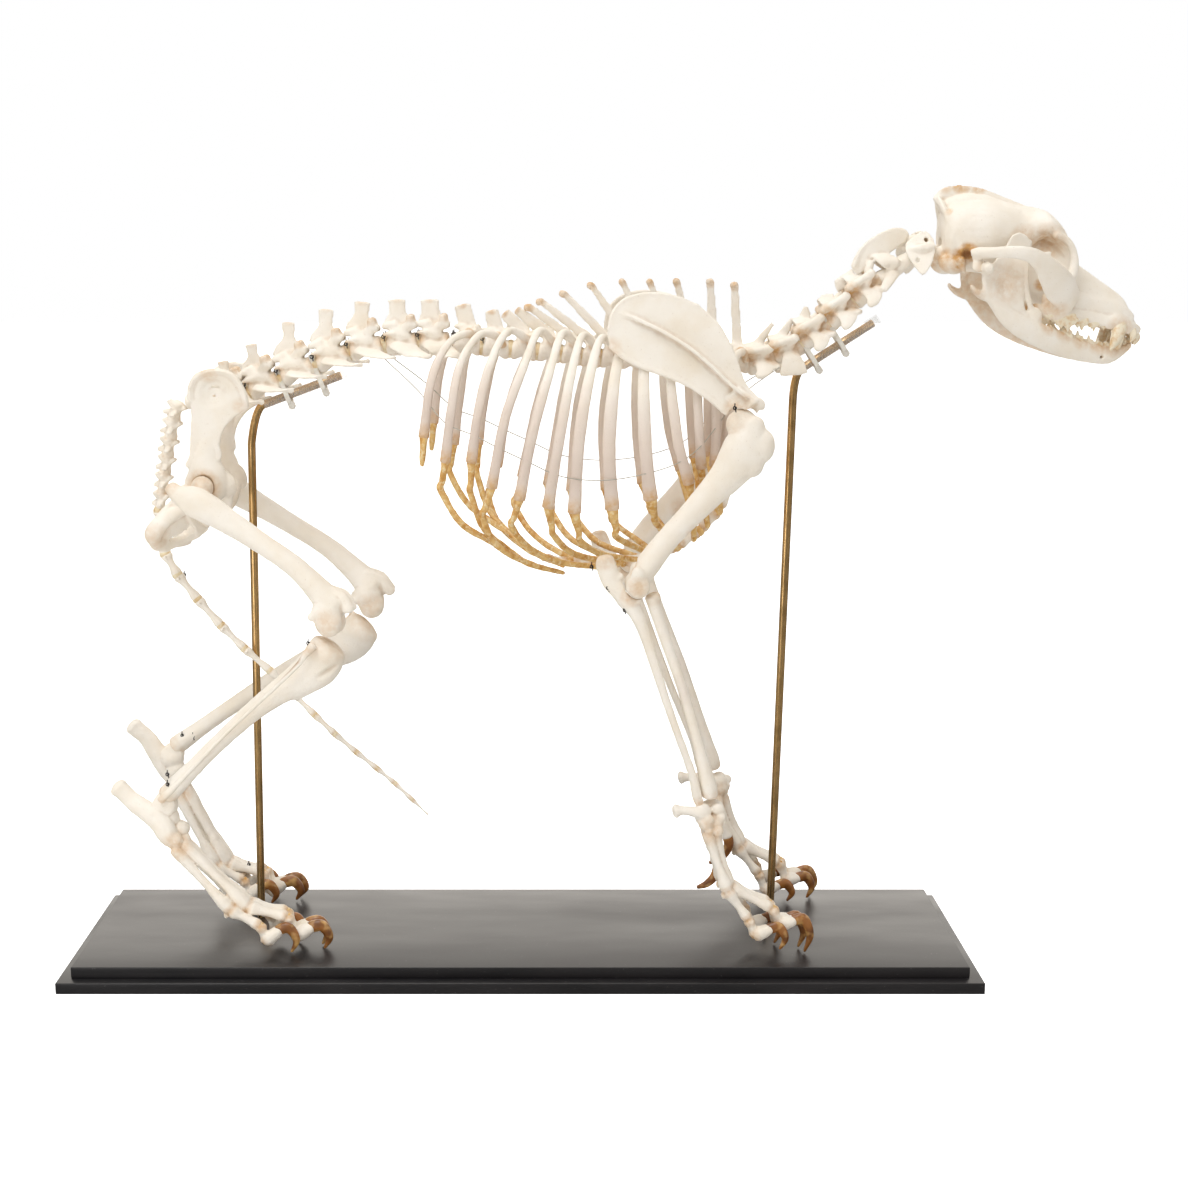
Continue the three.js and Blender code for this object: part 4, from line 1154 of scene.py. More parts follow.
    def make_hooks(self) -> None:
        """The wire ends that show at the joints of the limbs."""
        wires = WireWork(self.coat, 0.5)
        places = [(-299, 2, 346), (-171, -72, 323), (-179, -80, 302), (-147, 54, 312), (-318, 53, 184),
            (-308, 53, 183), (-260, 54, 57), (-305.7, -68, 183), (-306, -68, 174), (61, -64, 365),
            (75, -66, 347), (89, -68, 328), (185, -70, 476), (179, -72, 500), (218, -40, 23.8)]
        for number, at in enumerate(places):
            wires.coil(f"joint_wire_{number + 1}", at, 1.3, 1)

    def build(self) -> None:
        """Build the whole column."""
        self.make_atlas()
        self.make_axis()
        self.make_neck()
        self.make_thorax()
        self.make_loin()
        self.make_sacrum()
        self.make_discs()
        self.make_tail()
        self.make_wires()
        self.make_hooks()


@dataclass
class WireWork:
    """Thin wires and threads, each a tube along a run of points."""

    coat: Coat
    gauge: float = 0.45

    def tube(self, name: str, points: list[Point], radius: float, material: Material,
            slot: str) -> None:
        """A round tube through points.

        Args:
            name: the piece's name.
            points: its run.
            radius: half its thickness.
            material: its finish.
            slot: not used.
        """
        clay = Clay(name)
        clay.loft([(*point, radius) for point in points], 8, 3, Vector((0.3, 0.9, 0.3)).normalized(), 0.4)
        plain_piece(clay, material, ())

    def coil(self, name: str, at: Point, radius: float, turns: int) -> None:
        """A few tight turns of wire with two cut ends, lying on a bone.

        Args:
            name: the piece's name.
            at: its middle.
            radius: the radius of a turn.
            turns: how many.
        """
        points = [(at[0], at[1], at[2] + radius + 2.4)]
        for i in range(turns * 6 + 1):
            turn = i / 6 * 2 * math.pi
            points.append((at[0] + radius * math.sin(turn), at[1] + math.copysign(0.16 * i / 6 * 3, at[1]),
                at[2] + radius * math.cos(turn)))
        points.append((at[0] + 1.0, at[1], at[2] - radius - 2.2))
        self.tube(name, points, self.gauge, self.coat.wire, "steel_wire")


# Ribs and breastbone: body number, bone from the arch over the top to its lower end, cartilage, half width

RIBS = [
    (0, [(183, 26, 538), (180, 34, 512), (177, 31, 480), (177, 24, 455)],
        [(181, 16, 438), (184, 8.5, 421)], 4.5),
    (1, [(163, 28, 544), (166, 39, 515), (167, 38, 480), (167, 31, 447)],
        [(171, 20, 426), (175, 8.5, 406)], 4.2),
    (2, [(146, 29, 548), (149, 44, 520), (152, 46, 478), (155, 37, 446)],
        [(159, 24, 417), (164, 8.5, 391)], 4.0),
    (3, [(127, 29, 550), (127, 48, 520), (134, 55, 468), (144, 46, 434)],
        [(150, 28, 405), (152, 8.5, 379)], 4.5),
    (4, [(108, 29, 552), (104, 54, 520), (106, 63, 462), (111, 54, 421)],
        [(117, 37, 398), (138, 8.5, 371)], 5.5),
    (5, [(89, 29, 553), (80, 56, 524), (75, 71, 470), (78, 62, 414)], [(84, 44, 386), (120, 8.5, 364)], 5.5),
    (6, [(69, 30, 555), (59, 59, 526), (50, 78, 476), (46, 69, 412)],
        [(52, 54, 385), (70, 30, 370), (104, 8.5, 361)], 5.0),
    (7, [(53, 30, 557), (43, 62, 526), (33, 82, 472), (24, 73, 417)],
        [(29, 60, 391), (47, 36, 371), (87, 8.5, 358)], 4.4),
    (8, [(36, 30, 559), (25, 64, 528), (12, 83, 482), (0, 75, 424)],
        [(-7, 66, 400), (8, 46, 378), (35, 24, 362), (68, 8.5, 355)], 4.2),
    (9, [(16, 30, 561), (4, 62, 534), (-12, 82, 490), (-23, 75, 434)],
        [(-31, 68, 408), (-20, 54, 382), (8, 33, 362), (38, 17, 351)], 4.0),
    (10, [(-10, 30, 561), (-24, 58, 536), (-34, 76, 496), (-40, 72, 455)],
        [(-41, 67, 428), (-30, 57, 396), (-6, 40, 372), (6, 34, 363)], 3.9),
    (11, [(-34, 30, 558), (-49, 54, 536), (-56, 73, 500), (-62, 69, 455)],
        [(-66, 64, 430), (-50, 60, 402), (-26, 50, 385), (-8, 41, 374)], 3.8),
    (12, [(-57, 30, 554), (-68, 47, 538), (-75, 62, 514), (-80, 63, 475)], [(-82, 61, 451)], 3.8),
]
STERNUM = [(20, 362), (44, 358), (66, 357), (90, 358), (114, 363), (138, 372), (158, 386), (174, 404),
    (189, 436)]


@dataclass
class Cage:
    """The ribs with their cartilages, the breastbone and the threads that hold the ribs apart."""

    coat: Coat
    thread: float = 0.45

    def node(self, number: int, side: Side) -> str:
        """The solid that holds a rib."""
        return f"false_ribs_{side.label}" if number in (9, 10, 11) else f"rib_{number + 1}_{side.label}"

    def make_rib(self, number: int, side: Side) -> None:
        """One rib and its cartilage.

        Args:
            number: the rib's row, from 0.
            side: the side of the dog.
        """
        body, bone, cartilage, wide = RIBS[number]
        v = THORAX[body]
        node = self.node(number, side)
        run = smooth_run([(*p, 1.0, 1.0) for p in [v.at(6, 10.2, 3), v.at(2, 19, 10), *bone]], 6)[:, :3]
        lengths = np.concatenate([[0.0], np.cumsum(np.linalg.norm(np.diff(run, axis=0), axis=1))])
        shares = lengths / lengths[-1]
        sizes = [(0.0, 3.3, 3.2), (0.05, 2.5, 2.5), (0.1, 2.9, 3.6), (0.16, 2.3, 3.2),
            (0.3, 2.4, wide * 0.8), (0.55, 2.4, wide), (0.85, 2.6, wide), (0.95, 3.2, wide + 0.6),
            (1.0, 3.5, wide + 0.8)]
        table = np.array(sizes)
        rows = [(*p, float(np.interp(s, table[:, 0], table[:, 1])),
            float(np.interp(s, table[:, 0], table[:, 2]))) for p, s in zip(run, shares)]
        clay = Clay(f"rib_bone_{number + 1}_{side.label}")
        clay.loft(side.flip(rows), 18, 2, dome=0.35)
        piece = clay.close()
        uneven = bpy.data.textures.get("Rib_unevenness") or bpy.data.textures.new("Rib_unevenness", "CLOUDS")
        uneven.noise_scale = RIB_UNEVENNESS * MM
        apply(piece, "DISPLACE", texture=uneven, texture_coords="LOCAL", strength=0.8 * MM, mid_level=0.5)
        end = side.flip([(*bone[-1],)])[0]
        mid, low = side.flip([(*bone[-2],)])[0], side.flip([blend(bone[-2], bone[-1], 0.5)])[0]
        marks = [Mark(end, 13, 0.65), Mark(side.flip([v.at(4, 14, 6)])[0], 13, 0.6),
            Mark(low, 55, 0.8, "flush"), Mark(mid, 50, 0.65, "flush")]
        colour_in(piece, marks)
        dress(piece, self.coat.bone, (node,))
        tip = cartilage[-1]
        rows = [(*blend(bone[-2], bone[-1], 0.985), 3.1, wide + 0.2),
            (*blend(bone[-1], cartilage[0], 0.28), 3.6, wide * 0.8),
            (*blend(bone[-1], cartilage[0], 0.7), 2.7, 3.0)]
        rows += [(*p, 2.7, 3.0) for p in cartilage[:-1]]
        rows += [(*tip, 1.9 if number > 8 else 2.6, 2.0 if number > 8 else 2.8)]
        clay = Clay(f"rib_cartilage_{number + 1}_{side.label}")
        clay.loft(side.flip(rows), 14, 5)
        for share in (0.3, 0.7):
            spare = rows[2 + int(share * (len(rows) - 3))]
            clay.ball(side.flip([spare[:3]])[0], (3.0, 2.9, 3.0))
        plain_piece(clay, self.coat.cartilage, (node,), 1.1, 0.5)

    def make_sternum(self) -> None:
        """The breastbone: waisted bones with bumps of cartilage between them."""
        bones, joints = Clay("sternum_bones"), Clay("sternum_cartilages")
        for i in range(len(STERNUM) - 1):
            a, b = ((x, 0.0, z) for x, z in (STERNUM[i], STERNUM[i + 1]))
            half = 3.4 if i < 1 else 4.6
            bones.loft([(*blend(a, b, s), half * k, (half + 0.6) * k)
                for s, k in ((0.12, 0.9), (0.2, 1.0), (0.5, 0.72), (0.8, 1.0), (0.88, 0.9))], 14, 3)
            joints.ball(a, (4.4 if i else 3.2, 5.0, 5.2 if i else 3.6))
        joints.ball((189, 0, 432), (3.2, 3.8, 4.0))
        bone_piece(bones, self.coat, ("sternum",), 1.0, [Mark((x, 0, z), 10, 0.9) for x, z in STERNUM])
        plain_piece(joints, self.coat.cartilage, ("sternum",), 1.0, 0.5)

    def make_threads(self) -> None:
        """The two nylon threads, from the loin down along the ribs and up to the neck."""
        wires = WireWork(self.coat)
        for side in Side:
            points = [(-118, 22, 540), (-85, 46, 512), (-62, 71.5, 488), (-38, 75.5, 478), (-16, 80, 467),
                (8, 81.5, 456), (29, 81, 446), (50, 77.5, 441), (77, 71.5, 440), (106, 63, 444),
                (133, 56.5, 452), (152, 47, 464), (166, 40, 480), (190, 28, 508), (222, 18, 530)]
            wires.tube(f"rib_thread_{side.label}", [side.flip([p])[0] for p in points], self.thread,
                self.coat.thread, "nylon")

    def build(self) -> None:
        """Build the cage."""
        for side in Side:
            for number in range(len(RIBS)):
                self.make_rib(number, side)
        self.make_sternum()
        self.make_threads()


# Skull

@dataclass
class Skull:
    """The cranium, the mandible and the teeth."""

    coat: Coat
    voxel: float = 1.0

    def rings(self, clay: Clay, rows: list[tuple[float, ...]]) -> None:
        """Loft rows of top x, top z, bottom x, bottom z and half width along the skull.

        Args:
            clay: the mesh being modelled.
            rows: the five numbers of each ring.
        """
        run = smooth_run([((tx + bx) / 2, 0.0, (tz + bz) / 2, half, math.hypot(tx - bx, tz - bz) / 2,
            (tx - bx) / 2, (tz - bz) / 2) for tx, tz, bx, bz, half in rows], 3)
        grids = []
        for x, _, z, half, _, dx, dz in run:
            tall = Vector((dx, 0.0, dz)) * MM
            grid = Matrix((ACROSS * half * MM, tall,
                ACROSS.cross(tall).normalized() * MM)).transposed().to_4x4()
            grid.translation = spot((x, 0.0, z))
            grids.append(grid)
        clay.wake()
        bpy.ops.mesh.primitive_circle_add(vertices=32, radius=1.0, fill_type="NGON")
        clay.shift(grids[0])
        for before, after in zip(grids, grids[1:]):
            bpy.ops.mesh.extrude_region()
            clay.shift(after @ before.inverted())

    def make_cranium(self) -> None:
        """Braincase, muzzle, crests, cheek arches, ear bulbs and the hollows of eyes, nose and ears."""
        clay = Clay("cranium_bone")
        self.rings(clay, [(357, 664, 361, 622, 17), (364, 669, 366, 614, 27), (380, 672, 381, 611, 30),
            (397, 672, 397, 609, 31), (413, 669, 411, 606, 27.5), (427, 666, 424, 610, 23),
            (438, 664.5, 433, 628, 24), (448, 661, 441, 636, 28), (457, 652.5, 449, 635, 27),
            (465, 642, 457, 626, 23), (471, 629, 464, 610, 17)])
        self.rings(clay, [(412, 652, 412, 604, 18), (428, 648, 424, 598, 14), (442, 644, 436, 588, 15),
            (454, 640, 446, 580, 18), (465, 634, 455, 576, 21), (473, 621, 464, 573, 20),
            (483, 613, 474, 571, 18), (494, 605.5, 485, 569.5, 16.5), (508, 596, 498, 567, 15.5),
            (518, 588, 508, 563, 15.5), (523, 579, 518, 560, 14), (530, 567, 526, 556, 10.5)])
        clay.loft([(356, 0, 668, 2.4, 7), (363, 0, 674.6, 2.2, 7), (376, 0, 677, 1.9, 6),
            (394, 0, 674, 1.8, 6), (412, 0, 668, 2.2, 5), (428, 0, 662, 3, 5)], 14, 4)
        clay.loft([(361, 0, 664, 9, 7), (376, 0, 668, 11, 8), (394, 0, 667, 11, 8), (412, 0, 662, 11, 7),
            (428, 0, 656, 10, 7)], 18, 3)
        clay.loft([(372, -27, 628, 2.4, 3), (365, -22, 644, 2.2, 3.2), (358.5, -11, 663, 2.2, 3.6),
            (355.5, 0, 671, 2.4, 4.2), (358.5, 11, 663, 2.2, 3.6), (365, 22, 644, 2.2, 3.2),
            (372, 27, 628, 2.4, 3)], 12, 3, FORWARD)
        for side in Side:
            self.make_cheek(clay, side)
        cuts = Clay("cranium_hollows")
        for side in Side:
            cuts.ball(side.flip([(377, 32, 624)])[0], (4.0, 7, 4.4))
            cuts.loft(side.flip([(478, 24, 592, 2.2, 3), (470, 18, 596, 2, 2)]), 10, 2)
            cuts.ball(side.flip([(442, 17, 599)])[0], (2.4, 5, 3))
            cuts.ball(side.flip([(446, 28, 622)])[0], (14, 12, 13))
            cuts.loft(side.flip([(372, 14, 606, 1.6), (366, 13, 622, 1.4)]), 8, 2)
        cuts.ball((530.5, 0, 578), (10, 17, 8))
        cuts.ball((356, 0, 632), (9, 8, 7.5))
        marks = [Mark((375, 0, 685), 11, 0.9), Mark((390, 0, 681), 8, 0.6), Mark((362, 0, 681), 7, 0.4)]
        for s in (-1, 1):
            marks += [Mark((363, s * 15, 659), 5, 0.8), Mark((377, s * 27, 625), 11, 1.5),
                Mark((371, s * 24, 620), 12, 0.9), Mark((361, s * 18, 620), 12, 0.7),
                Mark((356, s * 10, 622), 9, 0.5), Mark((442, s * 17, 599), 7, 0.9),
                # The two marks along the eye socket and the hollow behind it paint the shade there.
                Mark((446, s * 20, 636), 18, 0.5), Mark((425, s * 24, 636), 16, 0.4),
                Mark((452, s * 22, 582), 16, 0.5), Mark((512, s * 18, 562), 14, 0.4),
                Mark((434, s * 20, 578), 10, 1.1), Mark((450, s * 30, 592), 8, 0.5),
                Mark((383, s * 38, 612), 9, 0.6)]
        bone_piece(clay, self.coat, ("cranium",), self.voxel, marks, cuts, 6, 0.3)

    def make_cheek(self, clay: Clay, side: Side) -> None:
        """One side's cheek arch, eye process, ear bulb, joint socket and gum line.

        Args:
            clay: the mesh being modelled.
            side: the side of the dog.
        """
        clay.loft(side.flip([(379, 29, 625, 6, 4), (383, 42, 626, 4.6, 5), (392, 50, 626.5, 3, 5),
            (403, 54.5, 627, 2.4, 5.2), (413, 56, 626.5, 2.2, 5.8), (424, 55, 624, 2.2, 7),
            (435, 51, 616.5, 2.4, 9.4), (445, 45, 606, 2.8, 13), (453, 38, 598, 4, 14.5),
            (460, 31, 592, 6, 13), (466, 24, 588, 7, 11)]), 20, 4)
        clay.ball(side.flip([(459, 26.5, 585)])[0], (11, 6, 9))
        clay.loft(side.flip([(433, 52, 623, 2, 3.4), (438, 50.5, 626, 1.8, 2.2),
            (441, 49.5, 626.5, 1.0, 1.2)]), 10, 2)
        clay.loft(side.flip([(450, 26, 641, 3, 3.4), (460, 26, 637, 3, 3), (466, 25.5, 628, 3, 3.2),
            (467, 27.5, 616, 3.4, 4), (464, 31, 607, 4, 5)]), 12, 3)
        clay.ball(side.flip([(452, 27, 640.5)])[0], (4.2, 2.6, 3))
        clay.ball(side.flip([(366, 17, 617)])[0], (11.5, 8.5, 8.5), (0, 0.3, 0))
        clay.loft(side.flip([(371, 27, 621, 4, 4.5), (373, 27, 615, 2.8, 3.4), (375, 26, 610, 1.6, 2)]), 12,
            3, FORWARD)
        clay.ball(side.flip([(357, 9, 625)])[0], (6.4, 5.5, 7.4), (0, 0.4, 0))
        clay.loft(side.flip([(386, 32, 620, 4, 3.4), (383, 40, 617, 3.4, 5.4), (381.5, 44, 612, 2.2, 4.6)]),
            12, 3)
        clay.loft(side.flip([(436, 22, 580, 3.6, 5), (448, 25, 577, 3.8, 6), (460, 24.5, 575, 3.8, 7),
            (472, 21, 573.5, 3.4, 6), (486, 17.5, 572, 3.2, 6), (500, 16, 569, 3.6, 6), (510, 15, 568, 5, 8),
            (522, 11.5, 563.5, 4.2, 6), (530, 6, 561, 4, 5)]), 14, 3)
        clay.loft(side.flip([(408, 11, 604, 2, 5), (420, 11, 590, 2, 7), (434, 12, 582, 2.6, 7)]), 12, 3)
        clay.loft(side.flip([(446, 20, 587, 5, 7), (460, 20.5, 587, 5.4, 9), (472, 18, 585, 5, 9),
            (486, 15, 583.5, 4.4, 9), (500, 13.4, 580, 4.4, 9), (512, 12.4, 576, 4.6, 8),
            (522, 10, 571, 4.4, 6)]), 14, 3)

    def tooth(self, clay: Clay, side: Side, x: float, y: float, gum: float, tip: float, length: float,
            thick: float, cusps: tuple[tuple[float, float], ...]) -> None:
        """A cheek tooth: a blade along the jaw with its cusps.

        Args:
            clay: the mesh being modelled.
            side: the side of the dog.
            x, y: its middle.
            gum, tip: the heights it runs between.
            length, thick: its half-sizes.
            cusps: the place and height of each.
        """
        reach = tip - gum
        clay.loft(side.flip([(x - length, y, gum, thick * 0.8, abs(reach) * 0.5),
            (x, y, gum, thick, abs(reach) * 0.55), (x + length, y, gum, thick * 0.8, abs(reach) * 0.5)]), 12,
            2)
        for along, share in cusps:
            clay.loft(side.flip([(x + along * length, y, gum, thick * 0.85, length * 0.55),
                (x + along * length, y, gum + reach * share * 0.6, thick * 0.6, length * 0.34),
                (x + along * length * 0.95, y, gum + reach * share, 0.5, 0.6)]), 10, 2)

    def make_teeth(self) -> None:
        """Upper and lower teeth."""
        upper, lower = Clay("upper_teeth"), Clay("lower_teeth")
        for side in Side:
            for rows in ([(513, 13.5, 569, 5.4), (511.5, 16, 562, 5.4), (509, 18.2, 555, 4.4),
                    (506, 19.6, 549, 2.8), (504, 20, 544.4, 0.9)],
                    [(524, 11.5, 563, 3), (525, 13, 557, 2.8), (523, 14, 551.5, 0.9)],
                    [(527, 7, 560, 2.8), (529, 8, 555, 2.6), (527.5, 8, 549.5, 1.0)],
                    [(529.5, 2.6, 560, 2.6), (532, 2.8, 554.5, 2.4), (530, 2.8, 549, 1.0)]):
                upper.loft(side.flip([(x, y, z, r, r * 1.15) for x, y, z, r in rows]), 14, 3)
            for x, y, gum, tip, length, thick, cusps in ((498, 17, 566, 561, 2.6, 1.7, ((0, 1),)),
                    (489, 18, 567.5, 560.5, 4.2, 1.9, ((0.1, 1),)),
                    (478, 20.5, 569, 561.5, 5, 2.1, ((0.1, 1), (-0.7, 0.7))),
                    (463, 25, 571, 560.5, 7.6, 3.2, ((0.3, 1), (-0.55, 0.75), (0.95, 0.4))),
                    (450, 24.5, 574.5, 568.5, 5, 4.6, ((0.4, 1), (-0.4, 0.9))),
                    (441.5, 22.5, 577, 572.5, 3, 3.6, ((0, 1),))):
                self.tooth(upper, side, x, y, gum, tip, length, thick, cusps)
            lower.loft(side.flip([(512, 8.5, 546, 4), (513.5, 10.5, 552, 4), (514.5, 12.5, 558, 3),
                (514, 13.6, 563, 0.8)]), 14, 3)
            for x, y in ((519, 6.5), (523, 4.2), (525, 1.8)):
                lower.loft(side.flip([(x, y, 548, 2), (x + 1, y, 552, 1.8), (x + 1.4, y, 554.5, 1.0)]), 10,
                    2)
            for x, y, gum, tip, length, thick, cusps in ((503, 10.5, 549, 553, 2.2, 1.6, ((0, 1),)),
                    (495, 12.5, 548.5, 555.5, 3.6, 1.8, ((0.1, 1),)),
                    (486, 14.5, 550, 557.5, 4.4, 2, ((0.1, 1), (-0.7, 0.6))),
                    (475.5, 17.5, 553, 561.5, 5, 2.2, ((0.1, 1), (-0.7, 0.65))),
                    (462, 21, 556, 567.5, 7.6, 2.9, ((0.6, 0.8), (0, 1), (-0.75, 0.5))),
                    (449.5, 25, 561, 567, 4, 2.8, ((0.3, 1), (-0.4, 0.8))),
                    (441.5, 27.5, 564, 568, 2.6, 2.4, ((0, 1),))):
                self.tooth(lower, side, x, y, gum, tip, length, thick, cusps)
        plain_piece(upper, self.coat.enamel, ("cranium",), 0.7)
        plain_piece(lower, self.coat.enamel, ("mandible",), 0.7)

    @staticmethod
    def spread(x: float) -> float:
        """How far the mandible's half stands out from the middle plane."""
        return float(np.interp(x, [378, 430, 480, 522], [41, 31, 15.5, 5]))

    def make_mandible(self) -> None:
        """The mandible: two tapering halves with tall wings, knuckles, rear hooks and small nerve holes."""
        clay = Clay("mandible_bone")
        for side in Side:
            plate = side.value
            clay.plate([(399, 622), (391, 613), (388.5, 603), (388, 595), (396, 586), (405, 576), (417, 563),
                (440, 554), (440, 570), (430, 572), (424, 590), (423, 610), (426.5, 631), (425, 639),
                (418, 643), (411, 640.5), (405, 630)], 3.0,
                lambda x, z: plate * (self.spread(x) + 0.02 * (z - 570)))
            body = [(394, 596, 587, 3.0), (402, 588, 576, 3.4), (412, 580, 564.5, 4.0),
                (424, 574, 555.5, 4.8), (438, 569, 548.5, 5.2), (455, 562.5, 542, 5.4),
                (475, 555.5, 536, 5.2), (492, 550.5, 533, 5.2), (506, 548.5, 532.5, 5.6),
                (518, 549.5, 540, 5), (525, 551, 546, 3.6)]
            clay.loft([(x, plate * self.spread(x), (top + low) / 2, half, (top - low) / 2)
                for x, top, low, half in body], 16, 3)
            clay.loft([(x, plate * self.spread(x), z, 2.4, 2.6)
                for x, z in ((427, 636), (425.5, 618), (426, 600), (431, 582), (440, 570))], 12, 3)
            clay.loft([(x, plate * self.spread(x), z, 2.6, 2.6)
                for x, z in ((389, 612), (389.5, 602), (392, 595), (400, 585))], 12, 3)
            clay.loft([(x, plate * (self.spread(x) + o), z, 3, r)
                for x, o, z, r in ((394, 0, 590, 5), (386, 0, 592, 3.6), (380, 1, 596, 2.4),
                (377.5, 1, 599.5, 1.6))], 12, 3)
            clay.loft(side.flip([(390.5, 34, 612.5, 4, 4.4), (389.5, 42, 614, 5.4, 5.4),
                (390, 50, 613.5, 4.4, 4.6)]), 16, 3, FORWARD)
            clay.ball(side.flip([(434, self.spread(434), 573)])[0], (8, 3, 9))
        clay.loft([(490, 0, 541, 8, 5), (505, 0, 540.5, 10, 7), (519, 0, 545, 7.5, 5.5),
            (525, 0, 548, 5, 3.6)], 18, 3)
        cuts = Clay("mandible_hollows")
        for side in Side:
            for x, z, r in ((487, 541, 1.5), (500, 539, 2.0)):
                out = self.spread(x)
                cuts.loft(side.flip([(x, out + 9, z, r, r * 0.7), (x - 3, out, z - 0.5, r, r * 0.7)]), 10, 2,
                    FORWARD)
            cuts.ball(side.flip([(409, 44, 600)])[0], (13, 8.6, 17), (0, -0.25, 0))
        marks = [Mark((x, s * self.spread(x), z), 13, 0.6) for s in (-1, 1)
            for x, z in ((448, 568), (462, 562), (478, 556), (494, 551), (508, 549), (520, 549))]
        marks += [Mark((380, s * 42, 594), 12, 0.4) for s in (-1, 1)]
        marks += [Mark((409, s * 38, 602), 22, 0.3) for s in (-1, 1)]
        # Painted shade: broad tan marks on the far half only, where it lies in shade behind the near half.
        marks += [Mark((400, 36, 588), 40, 0.35), Mark((440, 24, 556), 50, 0.3),
            Mark((385, 42, 600), 22, 0.4)]
        bone_piece(clay, self.coat, ("mandible",), self.voxel, marks, cuts, 5, 0.3)

    def build(self) -> None:
        """Build the skull."""
        self.make_cranium()
        self.make_mandible()
        self.make_teeth()


# Limbs

@dataclass
class Shank:
    """The axes of a long bone: s is the share of its length, f forwards and o outwards."""

    side: Side
    start: Point
    end: Point

    def __post_init__(self) -> None:
        """Work out the three directions."""
        first, last = (Vector(p) for p in self.side.flip([self.start, self.end]))
        self.first = first
        self.length = (last - first).length
        self.along = (last - first).normalized()
        out = ACROSS * self.side.value
        front = out.cross(self.along).normalized()
        self.front = -front if front.x < 0 else front
        self.out = (out - self.along * out.dot(self.along)).normalized()

    def at(self, s: float, f: float = 0.0, o: float = 0.0) -> Point:
        """A place on the bone."""
        return tuple(self.first + self.along * s * self.length + self.front * f + self.out * o)

    def run(self, rows: list[tuple[float, ...]]) -> list[Station]:
        """Stations from rows of (s, f, o, half-sizes)."""
        return [(*self.at(s, f, o), *size) for s, f, o, *size in rows]


